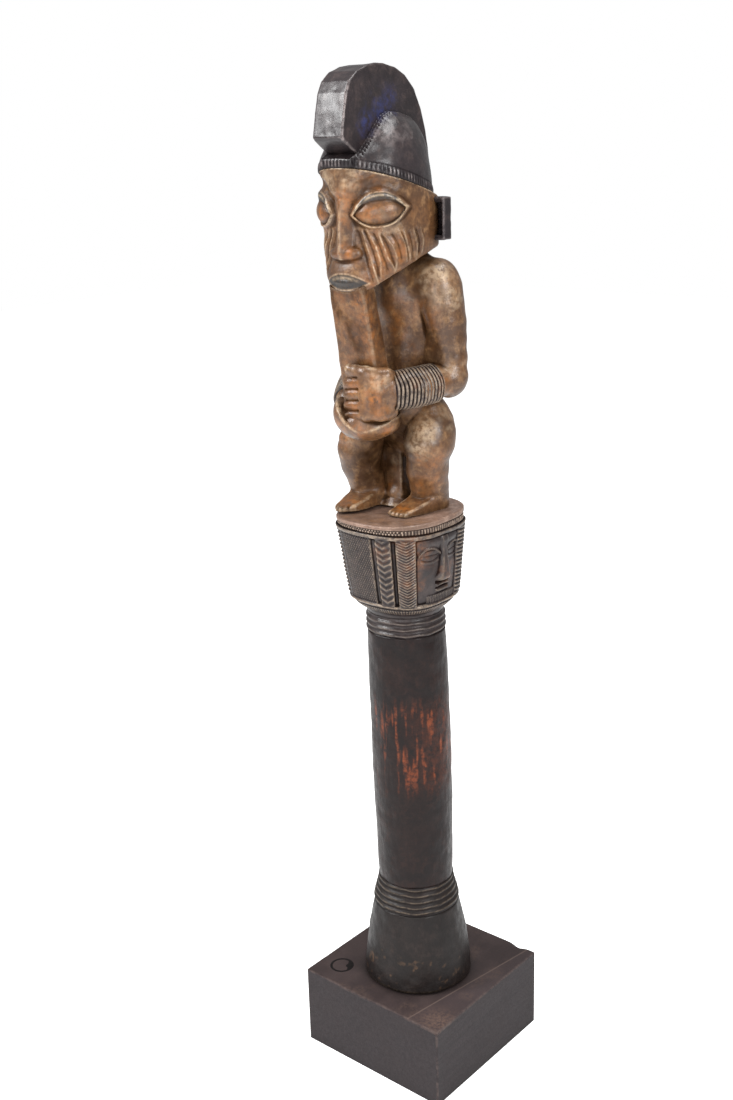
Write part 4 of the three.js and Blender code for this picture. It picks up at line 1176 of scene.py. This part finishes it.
def capital_face(s, z):
    """A face in low relief, s across it from its middle."""
    face = 1.4 * np.clip(1 - (s / 15.5) ** 2 * 0.9 - ((z - 272.5) / 19.5) ** 2 * 0.55, 0, 1) - 1.35
    face += 0.8 * bell(z - 285.0, 2.4) * smooth(14, 9, np.abs(s))
    eye_s, eye_z = np.abs(s) - 8.6, z - 279.0
    face -= 1.35 * bell(np.hypot(eye_s / 1.35, eye_z + 0.5), 4.2)
    lid_line = eye_z - 3.4 * np.clip(1 - (eye_s / 6.2) ** 2, 0, 1)
    face += (0.85 + 0.25 * wave(s / 1.35)) * bell(lid_line, 0.75) * (np.abs(eye_s) < 6.4)
    face += 0.75 * np.clip(1 - (eye_s / 5.4) ** 2 - ((eye_z + 0.3) / 2.6) ** 2, 0, 1) ** 0.5
    face -= 0.3 * bell(eye_z + 0.2, 0.35) * (np.abs(eye_s) < 4.8)
    face += 0.45 * bell(eye_z + 3.6 - 0.02 * eye_s**2, 0.6) * (np.abs(eye_s) < 5.5)
    nose_wide = np.interp(z, [265.4, 266.6, 269.4, 279, 284], [4.8, 5.4, 3.6, 2.1, 2.6])
    nose_high = np.interp(z, [264.6, 265.6, 267.2, 276, 284], [0.0, 2.9, 3.2, 2.2, 1.0])
    face += nose_high * smooth(1.15, 0.45, np.abs(s) / nose_wide)
    face -= 0.7 * bell(z - 264.5, 0.6) * (np.abs(s) < 5.4)
    mouth = 1 - (s / 5.6) ** 2
    lips = bell(z - 262.6 - 0.6 * mouth, 0.8) - 0.8 * bell(z - 261.7 - 0.2 * mouth, 0.4)
    lips += 0.9 * bell(z - 260.6 + 0.4 * mouth, 0.8)
    return face + lips * smooth(0, 0.4, mouth)


def capital_relief(a, z):
    """Height of the carving. The pattern of the seen sides repeats after half a turn."""
    b = np.where((a > np.radians(60)) | (a < np.radians(-128)), a + np.pi, a)
    run = run_of((b + np.pi) % TAU - np.pi) * RIM_HALF
    body_zone = within(z, CAP_LEDGE + 0.8, CAP_RIM - 1.4, 0.5)

    def band(low, high, soft):
        return within(run, run_at(low), run_at(high), soft)

    one, two = (np.abs((run * 0.86 + sign * z * 0.55) / 1.25 % 1 - 0.5) * 2 for sign in (1, -1))
    hatch = 0.34 * (smooth(0.1, 0.55, np.minimum(one, two)) - 1) - 0.1
    h = band(-124, -83.5, 0.6) * body_zone * hatch
    # Columns of chevrons: from, to, pitch, steepness, depth, roundness and lift
    for low, high, pitch, steep, depth, roundness, lift in (
        (-77.4, -60.9, 3.05, 0.5, 0.55, 0.5, -0.1),
        (-56.5, -38.5, 1.42, 0.45, 0.55, 0.75, 0.15),
        (20.0, 55.0, 1.95, 0.15, 0.75, 0.5, 0.1),
    ):
        half = (run_at(high) - run_at(low)) / 2
        v = np.abs(run - run_at(low) - half) / half
        ripple = depth * (wave((z - steep * half * v) / pitch) ** 1.4 - 0.5) * (1 - 0.15 * v)
        h += band(low, high, 0.5) * body_zone * (ripple + roundness * (1 - v**2) + lift)
    h -= 1.3 * np.clip(band(-83.5, -77.4, 0.4) + band(-60.9, -56.5, 0.4), 0, 1) * body_zone

    s = run - run_at(-4)
    chin = within(z, 254.6, 258.4, 0.6) * smooth(11.5, 10.2, np.abs(s))
    beard = chin * (0.35 + 0.5 * wave((s + 0.015 * s * np.abs(s)) / 1.35))
    panel = band(-38.0, 20.0, 0.5) * within(z, CAP_LEDGE + 1.0, CAP_RIM - 1.8, 0.5)
    h += panel * (capital_face(s, z) + beard)

    h += 0.75 * within(z, CAP_RIM - 1.3, CAP_RIM + 0.6, 0.5)
    h += 0.55 * bell(z - CAP_LEDGE + 0.2, 0.8) - 0.35 * bell(z - CAP_LEDGE + 1.9, 0.5)
    ticks = wave(run_of(a) * 24 / 1.45)
    h += within(z, CAP_LEDGE - 4.8, CAP_LEDGE - 2.0, 0.5) * (0.15 + 0.45 * ticks)
    return h + 0.4 * bell(z - CAP_LOW - 1.0, 0.8)


def wobble(a, z, size, seed):
    return size * noise(np.stack([np.cos(a) * 3.1 + seed, np.sin(a) * 3.1, z * 0.12], -1), 1.0, 2)


def capital_radius(a, z):
    square_share = smooth(CAP_LOW + 0.5, CAP_LEDGE - 1.0, z)
    form = capital_half(z) * (1 + (superellipse(a, SQUARE) - 1) * square_share)
    relief = capital_relief(a + wobble(a, z, 0.004, 3), z + wobble(a, z, 0.18, 9))
    return form + relief * 0.9 - 0.45 + wobble(a, z, 0.12, 5)


def face_share(a, z):
    """1 on the capital's two faces, whose ridges are worn less light."""
    turn = (np.degrees(a) + 180) % 180
    on_faces = within(turn, 142, 181, 2.0) + within(turn, -1, 20, 2.0)
    return on_faces * within(z, CAP_LEDGE + 2, CAP_RIM - 2, 1.0)


def relief_fields(a, z, r, flat):
    """Light ridges, and painted shade in the hollows, found against a blurred radius."""
    blur = r
    for _ in range(3):
        blur = sum(np.roll(blur, shift, 1) for shift in range(-2, 3)) / 5
        padded = np.pad(blur, ((2, 2), (0, 0)), mode="edge")
        blur = sum(padded[shift:shift + len(r)] for shift in range(5)) / 5
    spots = [(22, -16, -18, 6, 0.8), (20, -18, -10, 6, 0.9), (20, -18, -28, 5, 0.6), (27, 2, -27, 5, 0.5),
             (8, -27, -14, 4, 0.4)]
    return dict(
        sharp=smooth(0.05, 0.3, r - blur) * (1 - 0.6 * face_share(a, z)),
        hollow=smooth(-0.02, -0.3, r - blur),
        rub=blobs(flat - FIGURE, spots),
    )


levels = np.linspace(CAP_LOW, 289.9, 150 // COARSE)
turned("capital", capital_wood, "capital_wood", levels, COLUMNS, capital_radius, relief_fields)

# The plate under the feet
PLATE_LOW, PLATE_HIGH = 290.0, 295.0


def plate_radius(a, z):
    half = np.interp(z, [290.0, 290.3, 292.6, 292.9, 294.6, 295.0], [27.7, 28.0, 28.1, 28.5, 28.5, 28.0])
    two_rows = smooth(np.radians(-48), np.radians(-54), a) * (a > np.radians(-150))
    beads = 0.5 + 0.5 * np.cos(TAU * run_of(a) * 27 / 1.55 + np.pi * (z > 291.45) * two_rows)
    relief = within(z, 290.4, 292.5, 0.4) * (beads * 0.55 - 0.3) - 0.3 * bell(z - 290.2, 0.3)
    relief -= 0.4 * bell(z - 292.75, 0.25) + two_rows * 0.3 * bell(z - 291.45, 0.25)
    return half * superellipse(a, 2.6) + relief + wobble(a, z, 0.15, 12) - 0.2


def plate():
    """The plate's side, then its top as rings that draw in to the centre."""
    levels = np.concatenate([np.linspace(PLATE_LOW, 294.7, 30), [294.85, 294.95, PLATE_HIGH]])
    a, z = np.meshgrid(np.linspace(-np.pi, np.pi, COLUMNS, endpoint=False), levels)
    r = plate_radius(a, z)
    top_r = r[-1] * np.linspace(0.97, 0.02, 26)[:, None]
    top_a = np.broadcast_to(a[0], top_r.shape)
    place_on_top = np.stack([top_r * np.cos(top_a), top_r * np.sin(top_a), 0 * top_r], -1)
    top_z = np.minimum(PLATE_HIGH - 0.15 + 0.12 * noise(place_on_top, 5.0, 2), PLATE_HIGH)
    all_a, all_r, all_z = (np.concatenate(pair) for pair in ((a, top_a), (r, top_r), (z, top_z)))
    # The top leans: it is higher behind and on the figure's left
    lean = 1.1 * (0.757 * np.cos(all_a) + 0.653 * np.sin(all_a)) * all_r / 27.0
    leaning = all_z + lean * smooth(291.0, 294.5, all_z)
    rings = np.concatenate([bow_at(all_z) + 0 * all_r[..., None], leaning[..., None]], -1)
    rings[..., 0] += all_r * np.cos(all_a)
    rings[..., 1] += all_r * np.sin(all_a)
    flat = rings.reshape(-1, 3)
    over_band = smooth(292.6, 293.0, z)
    made = relief_fields(a, z, r, flat[:a.size])
    spots = [(2, -22, 0, 8, 0.7), (-16, -22, 0, 7, 0.6), (18, -14, 0, 8, 0.5)]
    fields = dict(
        sharp=np.append(made["sharp"], 0 * top_r),
        hollow=np.append(made["hollow"] * (1 - over_band), 0 * top_r),
        rub=np.append(0.1 * over_band, blobs(flat[a.size:] - FIGURE, spots)),
        stain=np.append(1 - over_band, 0 * top_r),
    )
    place("plinth", "figure_wood", plate_wood, flat, sheet(rings), None, fields)


plate()

# Shaft, collars and foot
SHAFT_LOW, SHAFT_HIGH, SHAFT_RADIUS = 100.0, 235.8, 19.0
FOOT_LOW, FOOT_HIGH = 43.3, 85.5


def shaft_radius(a, z):
    share = (z - SHAFT_LOW) / 136.0
    form = SHAFT_RADIUS + 0.2 * share + 0.9 * np.sin(np.clip(share, 0, 1) * np.pi)
    side = np.stack([np.cos(a) * SHAFT_RADIUS, np.sin(a) * SHAFT_RADIUS, z * 0.25], -1)
    return form + wobble(a, z, 0.22, 20) + 0.05 * noise(side, 1.6, 2)


def shaft_fields(a, z, r, flat):
    side = np.stack([np.cos(a) * SHAFT_RADIUS, np.sin(a) * SHAFT_RADIUS, z], -1)
    streaks = noise(side * [1, 1, 0.11], 1.5, 3) + 0.5 * noise(side * [1, 1, 0.3], 4.0, 2)
    return dict(rub=within(z, 156, 199, 16) * (0.3 * smooth(-1.4, 0.2, a) + smooth(0.15, 0.9, streaks)))


def collar_radius(levels, base, high):
    """Rounded rings at some levels on a sloping base."""

    def radius(a, z):
        wavy = z + wobble(a, z * 0, 0.45, 31) + wobble(a, z, 0.15, 33)
        rings = sum(bell(wavy - level, 0.95) for level in levels)
        return np.interp(z, *base) + high * rings - 0.2 + wobble(a, z, 0.1, 35)

    return radius


def foot_radius(a, z):
    share = (z - BLOCK_TOP) / 42.5
    form = 28.3 - 6.3 * share + 0.9 * np.sin(np.clip(share, 0, 1) * np.pi)
    form = form - 1.8 * np.clip(1 - (z - 43.2) / 1.8, 0, 1) ** 2 - 1.0 * np.clip((z - 84.3) / 1.2, 0, 1) ** 2
    return form + wobble(a, z, 0.3, 40) - 0.25


def foot_fields(a, z, r, flat):
    scuffs = smooth(0.45, 0.9, noise(flat, 3.2, 3)).reshape(a.shape)
    return dict(rub=scuffs * within(z, 44, 62, 14), sharp=0.4 * bell(z - 43.6, 1.0))


upper_rings = collar_radius((237.2, 240.2, 243.3), ([236, 245.6], [18.9, 18.7]), 1.0)
lower_base = ([85.5, 89, 94, 97, 100], [21.9, 21.2, 19.9, 19.1, 18.8])
lower_rings = collar_radius((87.3, 90.1, 93.0, 96.0, 99.0), lower_base, 0.85)
for node, material, slot, low, high, rows, columns, radius_of, fields_of in (
    ("shaft", shaft_wood, "shaft_wood", SHAFT_LOW, SHAFT_HIGH, 150, 360, shaft_radius, shaft_fields),
    ("upper_collar", capital_wood, "shaft_wood", SHAFT_HIGH, 245.5, 60, 400, upper_rings, relief_fields),
    ("lower_collar", foot_wood, "foot_wood", 85.4, SHAFT_LOW, 80, 420, lower_rings, relief_fields),
    ("foot", foot_wood, "foot_wood", FOOT_LOW, FOOT_HIGH, 90, 360, foot_radius, foot_fields),
):
    levels = np.linspace(low, high, rows // COARSE)
    turned(node, material, slot, levels, columns // COARSE, radius_of, fields_of)

# The display block


def block_wood():
    n = Nodes("block_wood")
    x, y, z = (n.node("SeparateXYZ", axis, {0: n.mm}) for axis in "XYZ")
    grain = n.noise(2.2, 5.0, 0.6, along=(1.0, 0.07, 1.0), warp=0.3)
    fine = n.noise(0.8, 4.0, 0.7)
    patch = n.noise(20.0, 4.0, 0.6)
    # A joint runs slantwise over the top, lighter on its right side
    across = n.math("SUBTRACT", n.math("SUBTRACT", x, n.times(y, 0.163)), 32.0)
    side = n.layers(srgb(34, 28, 30), [
        (n.ramp(grain, 0.3, 0.7), srgb(43, 36, 38)),
        (n.ramp(patch, 0.4, 0.65, 0.0, 0.5), srgb(40, 32, 33)),
    ])
    face = n.layers(srgb(50, 41, 41), [
        (n.ramp(patch, 0.35, 0.65), srgb(63, 52, 51)),
        (n.ramp(fine, 0.45, 0.7, 0.0, 0.5), srgb(66, 54, 51)),
        (n.ramp(grain, 0.45, 0.75, 0.0, 0.5), srgb(58, 48, 48)),
        (n.ramp(across, -0.3, 0.3, 0.0, 0.5), srgb(62, 53, 54)),
        (n.ramp(n.math("ABSOLUTE", across), 0.15, 0.6, 0.7, 0.0), srgb(96, 82, 76)),
    ])
    colour = n.layers(side, [
        (n.ramp(z, 42.2, 42.9), face),
        (n.times(n.attribute("rub"), n.ramp(n.noise(1.6, 4.0, 0.7), 0.35, 0.6)), srgb(92, 74, 66)),
        (n.times(n.attribute("sharp"), n.ramp(n.noise(3.0, 3.0, 0.6), 0.4, 0.65)), srgb(82, 69, 65)),
        # Painted shade where ambient occlusion finds the block closed in
        (n.hidden(6.0, 0.4, 0.95, 0.7, 0.0), srgb(30, 25, 24)),
    ])
    return n.surface({
        "Base Color": colour,
        "Roughness": n.ramp(fine, 0.3, 0.7, 0.42, 0.58),
        "Specular IOR Level": 0.25,
        "Normal": n.bumps([(grain, 0.12, 0.4), (fine, 0.08, 0.4)]),
    })


def block():
    """The block as a fine box with softened edges, slight hollows of wear and one nick."""
    half, high, edge = 43.5, BLOCK_TOP, 0.55
    fine, rows, plain = 150 // COARSE, 76 // COARSE, 8
    wide = 2 * half
    sides = (
        ((-half, -half, high), (0, wide, 0), (wide, 0, 0), fine, fine),
        ((-half, -half, 0), (wide, 0, 0), (0, wide, 0), plain, plain),
        ((-half, -half, 0), (0, 0, high), (wide, 0, 0), rows, fine),
        ((half, half, 0), (0, 0, high), (-wide, 0, 0), rows, fine),
        ((half, -half, 0), (0, 0, high), (0, wide, 0), rows, fine),
        ((-half, half, 0), (0, 0, high), (0, -wide, 0), rows, fine),
    )
    points, faces = np.zeros((0, 3)), []
    for corner, du, dv, nu, nv in sides:
        u, v = np.meshgrid(np.linspace(0, 1, nu), np.linspace(0, 1, nv), indexing="ij")
        grid = np.array(corner) + u[..., None] * du + v[..., None] * dv
        faces.append(sheet(grid, wrap=False)[:, ::-1] + len(points))
        points = np.concatenate([points, grid.reshape(-1, 3)])
    low_end, high_end = np.array([-half, -half, 0]), np.array([half, half, high])
    inner = np.clip(points, low_end + [edge, edge, edge * 0.4], high_end - edge)
    out = points - inner
    length = np.maximum(np.linalg.norm(out, axis=1, keepdims=True), 1e-9)
    points = inner + out / length * np.minimum(length, edge)
    x, y, z = points.T
    wear = noise(points, 9.0, 2)
    on_top = z > high - 1.2
    z -= on_top * np.maximum(0.12 * wear * (z > high - 0.3), 0)
    z -= on_top * 1.4 * bell(np.hypot((x - 33) / 3.5, (y - half) / 1.6), 1.0)
    z -= on_top * 0.7 * bell(np.hypot(x - half, y + half), 2.5)
    edges = np.sum(half - np.abs(points[:, :2]) < 0.9, axis=1)
    fields = dict(
        sharp=0.6 * ((edges >= 2) | ((edges >= 1) & (z > high - 0.9))),
        rub=np.maximum(bell(np.hypot(x - 38, y + 36), 9.0), 0.3 * smooth(0.2, 0.8, wear)) * on_top,
    )
    faces = np.concatenate(faces)
    place("base_block", "block_wood", block_wood(), points, faces, None, fields, "block_body")


def plug():
    """A turned plug, its top a little dished."""
    x, y, _ = top_of("base_plug")
    angle = np.linspace(0, TAU, 96, endpoint=False)
    radius = np.array([6.45, 6.5, 6.5, 6.42, 6.2, 5.0, 3.5, 2.0, 0.6])[:, None]
    height = np.array([34.0, 34.2, 42.6, 42.9, 43.02, 43.0, 42.95, 42.95, 42.95])[:, None]
    rings = np.stack([x + radius * np.cos(angle), y + radius * np.sin(angle), height + 0 * angle], -1)
    place("base_plug", "block_wood", plug_wood, rings.reshape(-1, 3), sheet(rings), None, {}, "block_plug")


block()
plug()

steel = Nodes("pin_steel")
streaks = steel.noise(1.2, 3.0, 0.5, along=(1.0, 1.0, 0.05))
steel.surface({
    "Base Color": steel.layers(srgb(120, 120, 122), [(streaks, srgb(165, 165, 168))]),
    "Metallic": 1.0,
    "Roughness": steel.ramp(streaks, 0.3, 0.7, 0.3, 0.45),
    "Normal": steel.bumps([(streaks, 0.05, 0.3)]),
})
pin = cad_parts["mount_pin"]
pin.data.materials.clear()
pin.data.materials.append(steel.material)

# Floor, light and camera, in metres

WHITE = (1.0, 1.0, 1.0, 1.0)
FLOOR_GLOW = 0.72  # what the camera sees added to the lit floor, so that it is white
SKY_LIGHT = 0.36

paper = Nodes("floor_paper")
seen = paper.node("LightPath", "Is Camera Ray", {})
paper.surface({
    "Base Color": (0.9, 0.9, 0.9, 1.0),
    "Roughness": 0.9,
    "Emission Color": WHITE,
    "Emission Strength": paper.times(seen, FLOOR_GLOW),
})
bpy.ops.mesh.primitive_plane_add(size=6.0, location=(0, 0, 0))
floor = bpy.context.object
floor.name = "floor"
floor.data.materials.append(paper.material)

world = bpy.data.worlds.new("studio")
bpy.context.scene.world = world
world.use_nodes = True
sky = world.node_tree.nodes["Background"]
sky.inputs["Color"].default_value = WHITE
seen = world.node_tree.nodes.new("ShaderNodeLightPath").outputs["Is Camera Ray"]
strength = world.node_tree.nodes.new("ShaderNodeMapRange")
strength.inputs["To Min"].default_value = SKY_LIGHT
world.node_tree.links.new(seen, strength.inputs["Value"])
world.node_tree.links.new(strength.outputs["Result"], sky.inputs["Strength"])

for name, place_at, target, size, power in (
    ("key", (-0.75, -0.95, 1.15), (0, 0, 0.3), (0.4, 0.7), 22.0),
    ("side", (1.05, -0.35, 0.75), (0, 0, 0.3), (0.35, 0.7), 10.0),
    ("top", (0.2, 0.1, 1.5), (0, 0, 0.2), (0.6, 0.6), 11.0),
    ("front", (0.45, -1.25, 0.55), (0, 0, 0.25), (0.5, 0.7), 6.0),
):
    data = bpy.data.lights.new(name, "AREA")
    data.shape = "RECTANGLE"
    data.size, data.size_y = size
    data.energy = power
    lamp = bpy.data.objects.new(name, data)
    bpy.context.scene.collection.objects.link(lamp)
    lamp.location = place_at
    lamp.rotation_euler = (Vector(target) - Vector(place_at)).to_track_quat("-Z", "Y").to_euler()

CAMERA_AT = (0.3901, -0.4869, 0.4674)
YAW, DOWN, ROLL = (math.radians(v) for v in (40.81, 17.22, -1.73))
FOCAL, IMAGE_HEIGHT, SENSOR = 1345.0, 1100.0, 36.0  # two in pixels, the last in millimetres
camera_data = bpy.data.cameras.new("camera")
camera_data.sensor_width = SENSOR
camera_data.lens = FOCAL / IMAGE_HEIGHT * SENSOR
camera_data.clip_start, camera_data.clip_end = 0.05, 20.0
camera = bpy.data.objects.new("camera", camera_data)
bpy.context.scene.collection.objects.link(camera)
camera.matrix_world = (
    Matrix.Translation(CAMERA_AT)
    @ Matrix.Rotation(YAW, 4, "Z")
    @ Matrix.Rotation(math.pi / 2 - DOWN, 4, "X")
    @ Matrix.Rotation(ROLL, 4, "Z")
)
bpy.context.scene.camera = camera
bpy.context.scene.view_settings.view_transform = "Standard"
